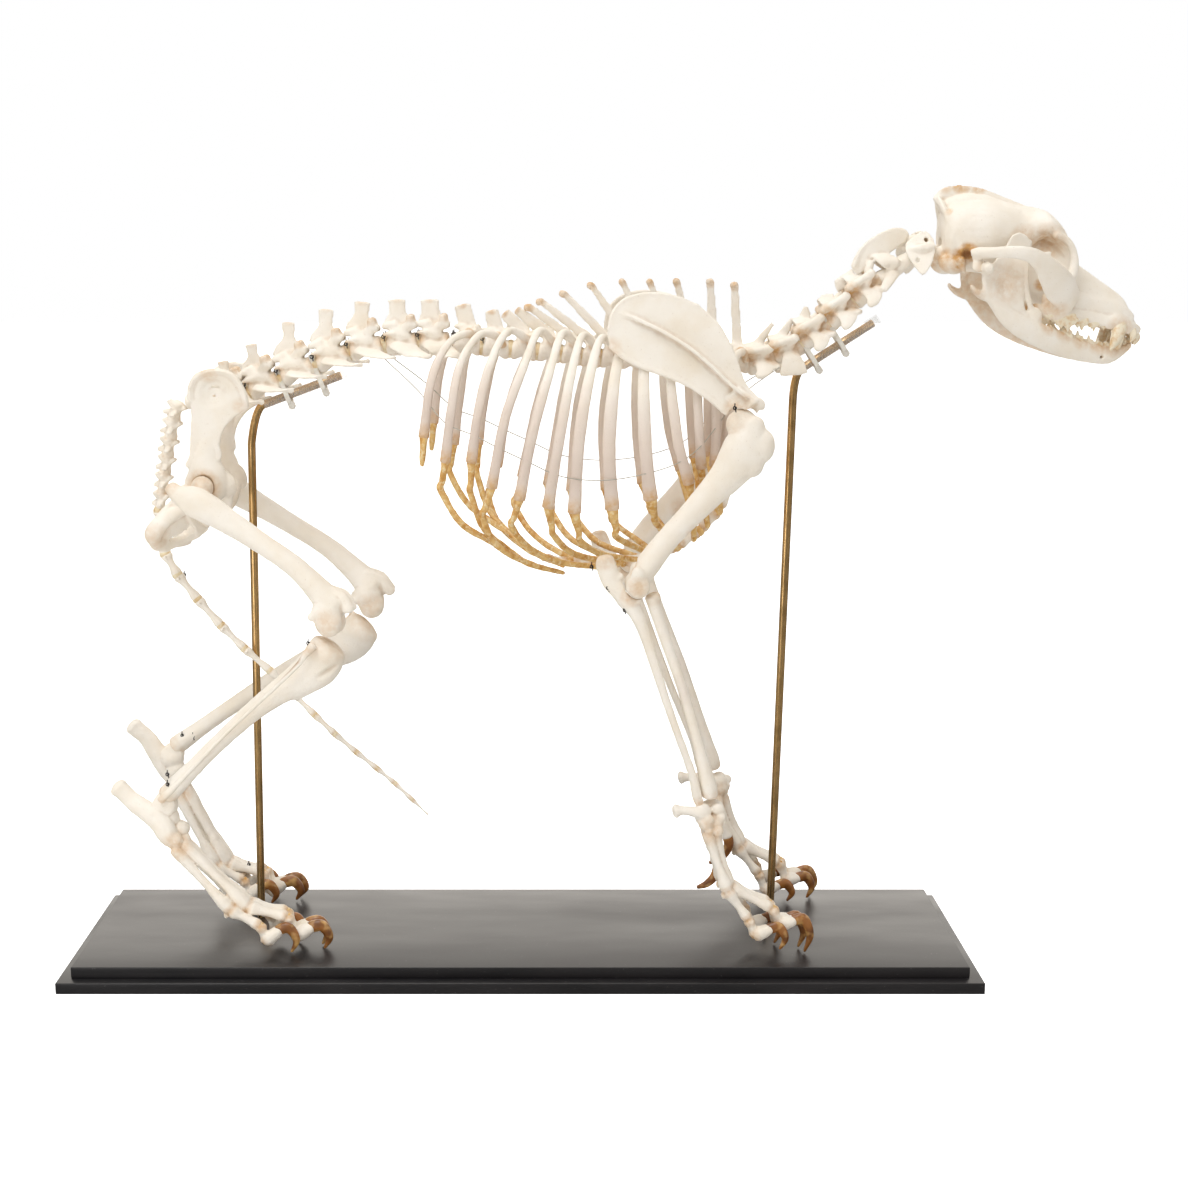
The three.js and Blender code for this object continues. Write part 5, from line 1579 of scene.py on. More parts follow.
@dataclass
class Forelimb:
    """Shoulder blade, upper arm, forearm and paw of one side."""

    coat: Coat
    side: Side
    shoulder: Point = (191, 60, 485)
    elbow: Point = (100, 63, 349)
    wrist: Point = (164, 64, 160)
    palm: Point = (165, 64, 134)
    ball: Point = (182, 66, 81)
    voxel: float = 1.3

    def make_scapula(self) -> None:
        """The shoulder blade: a thin fan with a standing ridge that ends in a hook over a shallow cup."""
        side = self.side

        def lie(x: float, z: float) -> float:
            """The blade leans out as it goes down, and is slightly hollow."""
            return side.value * (47 + (592 - z) * 0.12)

        clay = Clay(f"scapula_bone_{side.label}")
        clay.plate([(73.5, 561), (76, 574), (86, 587), (106, 593.5), (128, 591), (150, 583), (168, 567),
            (180, 545), (189, 521), (197, 511), (202, 504), (198, 492), (187, 486), (177, 489), (167, 497),
            (157, 506), (140, 517), (118, 526), (96, 534), (80, 543), (75, 551)], 2.6, lie, 4)
        rim = [(74.5, 563), (78, 577), (88, 588), (107, 593), (129, 590.5), (150, 582.5)]
        clay.loft([(x, lie(x, z), z, 2.1, 1.7) for x, z in rim], 10, 4)
        rear = [(76, 549), (96, 535.5), (118, 527.5), (140, 518.5), (158, 507), (170, 497)]
        clay.loft([(x, lie(x, z), z, 2.8, 2.1) for x, z in rear], 10, 4)
        ridge = [(82, 577, 49, 1.4), (96, 573, 51, 3.4), (116, 564, 54, 5.6), (138, 551, 57, 7),
            (158, 535, 60.5, 7.6), (173, 521, 63, 7.4), (183, 513, 65, 6.4), (190, 508, 67.5, 4)]
        clay.loft([(x, side.value * y, z, half, 1.2) for x, z, y, half in ridge], 12, 3)
        crown = [(98, 572, 54), (118, 563, 59), (140, 550, 63.5), (160, 534, 67.5), (176, 519, 70),
            (186, 511, 71)]
        clay.loft([(x, side.value * y, z, 1.2, 1.9) for x, z, y in crown], 10, 3)
        clay.loft(side.flip([(178, 58, 512, 5, 7), (186, 59, 503, 7, 10), (190.5, 60, 497.5, 8.5, 12.5)]),
            18, 3, dome=0.1)
        clay.loft(side.flip([(196, 57, 505, 4, 4), (202, 56.5, 503, 3, 4), (203, 56, 498, 2.4, 3)]), 12, 3)
        cuts = Clay("scapula_hollows")
        cuts.ball(Shank(side, self.shoulder, self.elbow).at(0.01, -4, 0), (15, 13, 15))
        marks = [Mark((185, side.value * 60, 497), 16, 0.45), Mark((76, side.value * 50, 548), 12, 0.3),
            Mark((190, side.value * 68, 507), 9, 0.3)]
        bone_piece(clay, self.coat, (f"scapula_{side.label}",), 1.1, marks, cuts, 4, 0.25)

    def make_humerus(self) -> None:
        """The upper arm: a rounded head with a tubercle in front, a waisted shaft and a drum at the elbow."""
        arm = Shank(self.side, self.shoulder, self.elbow)
        clay = Clay(f"humerus_bone_{self.side.label}")
        clay.loft(arm.run([(-0.02, 2, 2, 12, 11), (0.06, 8, 3, 12.5, 18), (0.14, 10, 4, 12, 19),
            (0.26, 10, 4, 10, 15.5), (0.38, 7, 4, 9, 12.6), (0.52, 3.6, 4, 8.4, 10.8), (0.66, 0, 3, 8.4, 10),
            (0.78, -2, 2, 9.4, 10.2), (0.89, -2.4, 1, 12, 10.6), (0.97, -1, 0, 15, 9)]), 22, 3, arm.out)
        clay.ball(arm.at(0.015, -4, 0), (13.5, 12, 13.5))
        clay.ball(arm.at(0.05, 19, 5), (12, 10, 15))
        clay.ball(arm.at(0.13, 19, 5), (11, 10, 16))
        clay.loft([(*arm.at(1, 0, -15), 9.5), (*arm.at(1, 0, -6), 11), (*arm.at(1, 0, 2), 8.8),
            (*arm.at(1, 0, 9), 10.6), (*arm.at(1, 0, 15), 9.4)], 20, 3, UP, 0.2)
        clay.ball(arm.at(0.95, -6, 14), (6, 4, 8))
        clay.ball(arm.at(0.95, -6, -14), (6, 4, 8))
        cuts = Clay("humerus_hollows")
        cuts.ball(arm.at(0.93, -11, 0), (7, 5.5, 7))
        cuts.loft(arm.run([(0.02, 18, -6, 2.4, 3), (0.16, 19, -9, 1.6, 2)]), 10, 2)
        marks = [Mark(arm.at(0.02, -6, 0), 15, 0.35), Mark(arm.at(1.0, 0, 15), 11, 0.4),
            Mark(arm.at(1.0, 0, -15), 11, 0.4), Mark(arm.at(0.93, -10, 0), 9, 0.5),
            Mark(arm.at(0.6, 10, 0), 12, 0.35)]
        bone_piece(clay, self.coat, (f"humerus_{self.side.label}",), self.voxel, marks, cuts, 4)

    def make_forearm(self) -> None:
        """Radius in front and ulna behind, bowed slightly apart."""
        arm = Shank(self.side, self.elbow, self.wrist)
        name = self.side.label
        clay = Clay(f"radius_bone_{name}")
        clay.loft(arm.run([(0.065, 9, 0, 9.5, 6.8), (0.085, 9, 0, 9.8, 6.8), (0.13, 8, 1, 7.2, 5.6),
            (0.3, 8, 1, 6.4, 5), (0.5, 8.5, 1, 6.4, 4.8), (0.75, 6, 1, 7, 5.2), (0.88, 4, 0.5, 9, 6.6),
            (0.95, 3, 0, 10.6, 7.6), (0.99, 2, 0, 10, 7)]), 20, 3, arm.out, 0.3)
        marks = [Mark(arm.at(0.07, 9, 0), 11, 0.4), Mark(arm.at(0.99, 2, 0), 12, 0.5),
            Mark(arm.at(0.5, 3, 3), 20, 0.3, "flush")]
        cuts = Clay("radius_hollows")
        cuts.loft([(*Shank(self.side, self.shoulder, self.elbow).at(1, 0, o), 11.3) for o in (-17, 17)], 24,
            1, UP)
        bone_piece(clay, self.coat, (f"radius_{name}",), 1.1, marks, cuts, 3, 0.25)
        clay = Clay(f"ulna_bone_{name}")
        clay.loft(arm.run([(-0.155, -19, 0, 4.8, 7.4), (-0.12, -20, 0, 4.4, 9), (-0.05, -20, 0.5, 4.2, 8.4),
            (0.0, -17, 1, 4.8, 7), (0.05, -13, 1.5, 5.4, 8), (0.1, -9, 3, 5.4, 7), (0.2, -7.5, 4, 4.4, 5),
            (0.4, -8, 6, 3.8, 4.2), (0.62, -8, 7, 3.4, 3.7), (0.85, -7, 7, 3.4, 3.8),
            (0.96, -9, 7, 4.2, 4.6), (1.01, -9, 6, 3.6, 3.6)]), 18, 3, arm.out)
        clay.loft(arm.run([(-0.055, -15, 0, 4, 4), (-0.06, -10, 0, 3, 3)]), 12, 2)
        clay.loft(arm.run([(0.06, -8, 2, 6, 5), (0.055, -2, 1, 7, 4)]), 12, 2)
        cuts = Clay("ulna_hollows")
        cuts.loft([(*Shank(self.side, self.shoulder, self.elbow).at(1, 0, o), 11.3) for o in (-17, 17)], 24,
            1, UP)
        marks = [Mark(arm.at(-0.15, -19, 0), 12, 0.35), Mark(arm.at(0.04, -9, 2), 11, 0.5),
            Mark(arm.at(1.0, -9, 6), 10, 0.5)]
        bone_piece(clay, self.coat, (f"ulna_{name}",), 1.1, marks, cuts, 3, 0.25)

    def make_paw(self) -> None:
        """Wrist bones, the heel pad bone, metacarpals, toes, dewclaw and claws."""
        tip = self.ball[2] - 20 - 1.8
        toes = [Toe(7.5, 13, 2, (19, 26), (25, 40), (39, 34), (47, tip - 6), 4.3),
            Toe(2.5, 5, 0, (39, 19), (46, 34), (59, 30), (68, tip), 4.5),
            Toe(-2.5, -5, 0, (37, 18), (44, 35), (56, 32), (64, tip), 4.5),
            Toe(-7.5, -13, 4, (20, 25), (27, 42), (40, 36), (48, tip), 4.3)]
        paw = Paw(self.coat, self.side, f"forepaw_{self.side.label}", self.palm, self.ball, toes)
        wx, wy, wz = self.wrist
        px, py, pz = self.palm
        paw.cluster([(wx + 3, wy - 4, wz - 10, 11, 9, 8), (wx - 6, wy + 7, wz - 10, 8, 6, 8),
            (px + 2, py - 8, pz + 6, 7, 5.5, 7), (px + 4, py - 2.5, pz + 7, 8, 5, 7.5),
            (px + 4, py + 4, pz + 6, 8, 5.4, 7.5), (px - 4, py + 8, pz + 7, 7, 5.4, 8),
            (px - 8, py + 4, pz + 10, 5, 6, 6), (wx + 7, wy + 5, wz - 8, 6, 4.6, 5),
            (wx - 1, wy + 10, wz - 16, 5, 4, 4.6), (px + 9, py + 5, pz + 11, 5, 4.6, 5),
            (px - 1, py + 9, pz - 1, 4.6, 4, 5), (px + 7, py + 8, pz - 1, 4.6, 4, 5)])
        paw.bones.loft(self.side.flip([(wx - 8, wy + 7, wz - 11, 5, 6),
            (wx - 16, wy + 7, wz - 9.5, 3.8, 4.4), (wx - 24, wy + 6, wz - 9, 3.8, 4.4),
            (wx - 29, wy + 6, wz - 9.5, 5, 6.6)]), 14, 3)
        paw.bones.loft(self.side.flip([(px, py - 9, pz - 2, 4, 4.6), (px + 1, py - 14, pz - 12, 3, 3.6),
            (px + 2, py - 19, pz - 21, 4, 4.8)]), 12, 3)
        paw.bones.loft(self.side.flip([(px + 3, py - 20, pz - 24, 3.8, 4.8),
            (px + 6, py - 20, pz - 31, 3.4, 4), (px + 8, py - 20, pz - 37, 4.4, 5.4)]), 12, 3)
        paw.claws.loft(self.side.flip([(px + 8, py - 20, pz - 36, 3.8, 5),
            (px + 10, py - 20, pz - 44, 3.6, 4.8), (px + 7, py - 20, pz - 53, 3, 4.2),
            (px, py - 20, pz - 60, 2.4, 3.4), (px - 8, py - 20, pz - 63, 1.2, 1.8)]), 14, 3)
        paw.build()

    def build(self) -> None:
        """Build the limb."""
        self.make_scapula()
        self.make_humerus()
        self.make_forearm()
        self.make_paw()


@dataclass
class Toe:
    """One toe: its fan at the top, its spread at the ball, and its joints (forwards, down) from the ball."""

    fan: float
    spread: float
    back: float
    knuckle: tuple[float, float]
    pad: tuple[float, float]
    curl: tuple[float, float]
    claw: tuple[float, float]
    thick: float


@dataclass
class Paw:
    """The small bones, glue and claws of one paw."""

    coat: Coat
    side: Side
    node: str
    top: Point
    ball: Point
    toes: list[Toe]
    voxel: float = 0.8
    glue_spots: list[Point] = field(default_factory=list)

    def __post_init__(self) -> None:
        """Model the bones of every toe first."""
        self.claws = Clay(f"{self.node}_claws")
        self.glue = Clay(f"{self.node}_glue")
        self.bones = Clay(f"{self.node}_bones")
        for toe in self.toes:
            self.long_bones(toe)

    def places(self, toe: Toe) -> list[Point]:
        """The toe's joints from the top of its long bone to the claw's tip.

        Args:
            toe: the toe.

        Returns:
            Six places.
        """
        bx, by, bz = self.ball[0] - toe.back, self.ball[1] + toe.spread, self.ball[2]
        middle = abs(toe.fan) < 5
        start = (self.top[0] + (4 if middle else -3), self.top[1] + toe.fan,
            self.top[2] + (1 if middle else -3))
        fore = [(bx + f, by + toe.spread * 0.12, bz - d) for f, d in (toe.knuckle, toe.pad, toe.curl,
            toe.claw)]
        return [start, (bx, by, bz), *fore]

    def phalanx(self, start: Point, end: Point, base: float, waist: float, head: float,
            gap: float = 0.06) -> None:
        """A small waisted bone between two joints."""
        rows = [(gap, base * 0.95), (gap + 0.1, base), (0.35, waist * 1.1), (0.62, waist), (0.86, head),
            (1 - gap, head * 0.92)]
        self.bones.loft(self.side.flip([(*blend(start, end, s), r * 1.05, r) for s, r in rows]), 14, 2)

    def long_bones(self, toe: Toe) -> None:
        """The long bone and the toe bones of one toe.

        Args:
            toe: the toe.
        """
        start, ball, knuckle, pad, curl, _ = self.places(toe)
        t = toe.thick
        self.phalanx(start, ball, t * 1.15, t * 0.84, t * 1.35, 0.02)
        self.phalanx(ball, knuckle, t * 1.3, t * 0.85, t * 1.15)
        self.phalanx(knuckle, pad, t * 1.15, t * 0.85, t * 1.15)
        self.phalanx(pad, curl, t * 1.5, t * 1.3, t * 1.1)
        for o in (-1.7, 1.7):
            self.bones.ball(self.side.flip([(ball[0] - 3.4, ball[1] + o, ball[2] - 4)])[0], (2.2, 1.4, 3.2))
        self.glue_spots += [ball, knuckle, pad]

    def cluster(self, stones: list[tuple[float, ...]]) -> None:
        """Rounded wrist or ankle bones, packed together."""
        for x, y, z, *size in stones:
            self.bones.ball(self.side.flip([(x, y, z)])[0], size)

    def build(self) -> None:
        """Model the glue and claws, and finish all three meshes."""
        marks = [Mark(self.side.flip([spot_])[0], 8, 0.8) for spot_ in self.glue_spots]
        marks += [Mark(self.side.flip([(self.top[0], self.top[1] + o, self.top[2])])[0], 16, 0.45)
            for o in (-8, 8)]
        for at in self.glue_spots:
            self.glue.ball(self.side.flip([at])[0], (3.9, 3.9, 3.9))
        for toe in self.toes:
            _, _, _, pad, curl, claw = self.places(toe)
            t = toe.thick
            high = (blend(curl, claw, 0.75)[0] + 1.0, curl[1], curl[2] + 0.5)
            low = (claw[0] + 4.5, claw[1], blend(claw, curl, 0.5)[2])
            self.claws.loft(self.side.flip([(*blend(pad, curl, 0.72), t * 0.7, t * 0.95),
                (*curl, t * 0.85, t * 1.15), (*high, t * 0.8, t * 1.1), (*low, t * 0.58, t * 0.76),
                (*claw, 1.0, 1.2)]), 18, 5)
        bone_piece(self.bones, self.coat, (self.node,), self.voxel, marks, None, 2, 0.55)
        for clay, material, slot in ((self.glue, self.coat.cartilage, "cartilage"),
                (self.claws, self.coat.horn, "claw")):
            plain_piece(clay, material, (self.node,), 0.6 if slot == "claw" else 1.0,
                0.0 if slot == "claw" else 0.5)


@dataclass
class Hindlimb:
    """Thigh, shank and hind paw of one side."""

    coat: Coat
    side: Side
    hip: Point = (-271, 44, 430)
    knee: Point = (-157, 62, 319)
    ankle: Point = (-312, 60, 160)
    heel: Point = (-352, 60, 168)
    instep: Point = (-300, 60, 118)
    ball: Point = (-241, 59, 60)
    voxel: float = 1.3

    def make_femur(self) -> None:
        """The thigh bone: ball head on a neck, trochanter, long round shaft and two rolls at the knee."""
        leg = Shank(self.side, self.hip, self.knee)
        clay = Clay(f"femur_bone_{self.side.label}")
        clay.loft(leg.run([(-0.1, -14, 20, 5.4, 6), (-0.05, -14, 20, 7, 8), (0.03, -10, 17, 9.6, 13),
            (0.1, -7, 15, 10, 13), (0.22, -3, 12, 9.4, 11), (0.42, 3, 9, 8.6, 9.2), (0.64, 8.6, 6, 8.6, 9.2),
            (0.82, 8, 3, 11, 11), (0.93, 6, 0, 14.4, 14)]), 22, 3, leg.out)
        clay.ball(self.side.flip([self.hip])[0], (9.8, 9.8, 9.8))
        clay.loft([(*self.side.flip([self.hip])[0], 6.4, 6.4), (*leg.at(0.02, -4, 7), 6.6, 7.4),
            (*leg.at(0.05, -9, 15), 8, 10)], 16, 3, UP)
        for o in (-8.6, 8.6):
            clay.ball(leg.at(0.985, -5, o), (12, 6.6, 13))
            clay.loft([(*leg.at(0.86, 14, o * 0.7), 3.4, 4), (*leg.at(0.94, 19, o * 0.72), 3.6, 4.6),
                (*leg.at(1.02, 15, o * 0.76), 4, 5)], 12, 3)
            clay.ball(leg.at(0.9, -12, o * 1.15), (3.6, 3.4, 3.8))
        for o in (-7, 7):
            clay.ball(leg.at(0.94, -1, o), (13, 8.5, 13))
        clay.ball(leg.at(0.96, 12, 0), (9, 8, 10))
        cuts = Clay("femur_hollows")
        cuts.ball(leg.at(1.03, -10, 0), (9, 3, 10))
        cuts.ball(leg.at(0.0, -10, 12), (4, 3.4, 4))
        marks = [Mark(self.side.flip([self.hip])[0], 14, 0.55), Mark(leg.at(-0.1, -14, 20), 10, 0.4),
            Mark(leg.at(0.98, -6, 9), 15, 0.35), Mark(leg.at(0.98, -6, -9), 15, 0.35)]
        bone_piece(clay, self.coat, (f"femur_{self.side.label}",), self.voxel, marks, cuts, 4)

    def make_shank(self) -> None:
        """The shin bone with its plateau and crest, and the needle-thin bone beside it."""
        leg = Shank(self.side, self.knee, self.ankle)
        clay = Clay(f"tibia_bone_{self.side.label}")
        clay.loft(leg.run([(0.1, 13, 0, 16, 16.5), (0.13, 14, 0, 16, 17.5), (0.17, 17, 0, 13, 18),
            (0.23, 16, 0, 10, 17), (0.3, 12, 0, 8.4, 13.5), (0.4, 7, 0, 7.8, 10.4), (0.52, 3.4, 0, 7.2, 8.6),
            (0.7, 1.4, 0, 7, 7.5), (0.86, 1, 0, 8.2, 7.8), (0.94, 1, 0, 10, 8.8), (0.985, 1, 0, 10.2, 8.8)]),
            24, 3, leg.out, 0.3)
        clay.loft(leg.run([(0.14, 26, 0, 4, 7), (0.22, 28, 0, 3, 6), (0.34, 20, 0, 2.6, 5)]), 12, 3, leg.out)
        cuts = Clay("tibia_hollows")
        cuts.loft(leg.run([(0.09, 30, 11, 3, 3), (0.24, 22, 14, 4.4, 5)]), 12, 2)
        marks = [Mark(leg.at(0.1, 12, 0), 20, 0.35), Mark(leg.at(0.98, 1, 0), 13, 0.45)]
        bone_piece(clay, self.coat, (f"tibia_{self.side.label}",), self.voxel, marks, cuts, 4)
        clay = Clay(f"fibula_bone_{self.side.label}")
        clay.loft(leg.run([(0.12, 0, 17, 3.4, 4.4), (0.16, 1, 17, 2.2, 3), (0.26, 3, 15, 1.5, 1.9),
            (0.6, 0, 10.5, 1.4, 1.7), (0.86, 0, 9, 1.8, 2.2), (0.95, 0, 9.4, 2.8, 3.4),
            (1.0, 0, 9.4, 3, 3.6)]), 14, 3, leg.out)
        piece = clay.close()
        colour_in(piece, [Mark(leg.at(0.14, 0, 16), 9, 0.4), Mark(leg.at(1, 0, 9), 9, 0.4)])
        dress(piece, self.coat.bone, (f"tibia_{self.side.label}",))

    def make_paw(self) -> None:
        """Heel, ankle bones, metatarsals, toes and claws."""
        tip = self.ball[2] - 20 - 1.8
        toes = [Toe(7.5, 12, 14, (26, 14), (31, 28), (44, 17), (53, tip), 4.4),
            Toe(2.5, 4.5, 0, (35, 9), (42, 26), (57, 18), (67, tip), 4.8),
            Toe(-2.5, -4.5, 0, (33, 8), (40, 27), (54, 18), (64, tip), 4.8),
            Toe(-7.5, -12, 10, (26, 13), (31, 28), (43, 18), (52, tip), 4.4)]
        paw = Paw(self.coat, self.side, f"hindpaw_{self.side.label}", self.instep, self.ball, toes)
        ax, ay, az = self.ankle
        hx, hy, hz = self.heel
        ix, iy, iz = self.instep
        paw.bones.loft(self.side.flip([(hx + 1, hy, hz + 1, 7.4, 8.6), (hx + 6, hy, hz - 4, 5.6, 8),
            (hx + 14, hy + 1, hz - 12, 5.2, 8.4), (ix - 17, iy + 4, iz + 23, 6.4, 10),
            (ix - 9, iy + 5, iz + 10, 7, 9.4), (ix - 6, iy + 5, iz + 3, 6.4, 7)]), 18, 3)
        paw.cluster([(ax + 1, ay - 3, az - 9, 11, 9, 10), (ax + 4, ay - 3, az - 20, 9, 8.4, 10),
            (ix, iy - 4, iz + 12, 9.4, 7.4, 8), (ix - 3, iy + 6, iz + 4, 8, 5.6, 8),
            (ix + 2, iy - 7, iz + 3, 6, 5, 6), (ix + 4, iy - 1.5, iz + 3, 6.4, 4.6, 6.4)])
        for o in (-6.5, 4.5):
            paw.bones.ball(self.side.flip([(ax + 1, ay + o, az - 6)])[0], (10.5, 3.4, 10.5))
        paw.build()

    def build(self) -> None:
        """Build the limb."""
        self.make_femur()
        self.make_shank()
        self.make_paw()


@dataclass
class Pelvis:
    """The pelvis: two upright wings, sockets, and rings round the two openings."""

    coat: Coat
    voxel: float = 1.2

    def build(self) -> None:
        """Build both halves and the seam between them."""
        clay = Clay("pelvis_bone")
        for side in Side:
            sign = side.value

            def lie(x: float, z: float) -> float:
                """The wing flares outwards towards its top."""
                return sign * (34 + max(0.0, z - 455) * 0.16 if z > 455 else 25 + (z - 390) * 0.14)

            clay.plate([(-286, 446), (-283, 457), (-281, 473), (-279, 493), (-279, 512), (-275, 523),
                (-262, 529), (-246, 529), (-237, 522), (-231, 509), (-229, 498), (-236, 493), (-245, 487),
                (-252, 478), (-256, 466), (-257, 452)], 4.0, lie)
            edge = [(-279, 505), (-277, 517), (-271, 525), (-261, 528.5), (-247, 528), (-238, 521),
                (-232.5, 510), (-231, 500)]
            clay.loft([(x, lie(x, z) + sign * 1.0, z, 3.6, 2.4) for x, z in edge], 12, 3)
            clay.loft(side.flip([(-265, 36, 489, 3, 8), (-268, 34, 468, 5, 9.5),
                (-269.5, 32, 453, 7.5, 12.5), (-269, 31, 440, 10.5, 17), (-271, 31, 428, 11, 18.5),
                (-276, 32, 416, 8, 13)]), 20, 3)

            def table(x: float, z: float) -> float:
                """The plate behind the opening runs in from the outer corner to the seam."""
                return sign * (39 - 0.85 * max(0.0, x + 314) * min(1.0, max(0.0, (411 - z) / 20)))

            clay.plate([(-289, 432), (-297, 421), (-310, 408), (-317.5, 398), (-320, 384), (-316, 375),
                (-306, 373), (-293, 377), (-281, 382), (-276, 390), (-281, 399), (-286, 409), (-279, 424)],
                5.0, table)
            clay.loft(side.flip([(-278, 33, 418, 6, 9), (-290, 37, 411, 4.4, 6.5), (-302, 41, 404, 5, 7),
                (-311, 44, 395, 6.5, 8), (-315, 43, 388, 6.4, 7.6), (-313, 34, 381, 5, 5.4),
                (-305, 20, 378, 3.6, 5), (-297, 6, 378, 3.2, 5.6), (-295, 0, 379, 3.2, 6)]), 16, 3)
            clay.loft(side.flip([(-259, 29, 432, 6, 9), (-255, 21, 422, 4, 6.4), (-258, 11, 410, 3.6, 6.4),
                (-268, 2, 401, 3.6, 7)]), 16, 3)
            clay.ball(side.flip([(-254, 27, 431)])[0], (9, 6, 13), (0.0, -0.4, 0.0))
        clay.loft([(-266, 0, 403, 3.6, 5.4), (-283, 0, 390, 3.4, 6), (-300, 0, 377.5, 3.4, 5)], 14, 3)
        cuts = Clay("pelvis_hollows")
        for side in Side:
            cuts.ball(side.flip([(-271, 45, 430)])[0], (11.2, 12, 11.2))
            cuts.ball(side.flip([(-264, 41, 484)])[0], (3.2, 2.6, 1.0), (0.0, -0.35, 0.0))
            cuts.ball(side.flip([(-249.5, 37, 480)])[0], (1.3, 3, 1.3))
            cuts.ball(side.flip([(-258, 48, 507)])[0], (15, 6.5, 17), (0.0, 0.5, 0.0))
        marks = []
        for s in (-1, 1):
            marks += [Mark((-236, s * 40, 500), 9, 0.3), Mark((-271, s * 38, 430), 17, 0.65),
                Mark((-262, s * 46, 528), 10, 0.35), Mark((-313, s * 42, 388), 15, 0.35)]
        bone_piece(clay, self.coat, ("pelvis",), self.voxel, marks, cuts, 4, 0.3)


# Mount

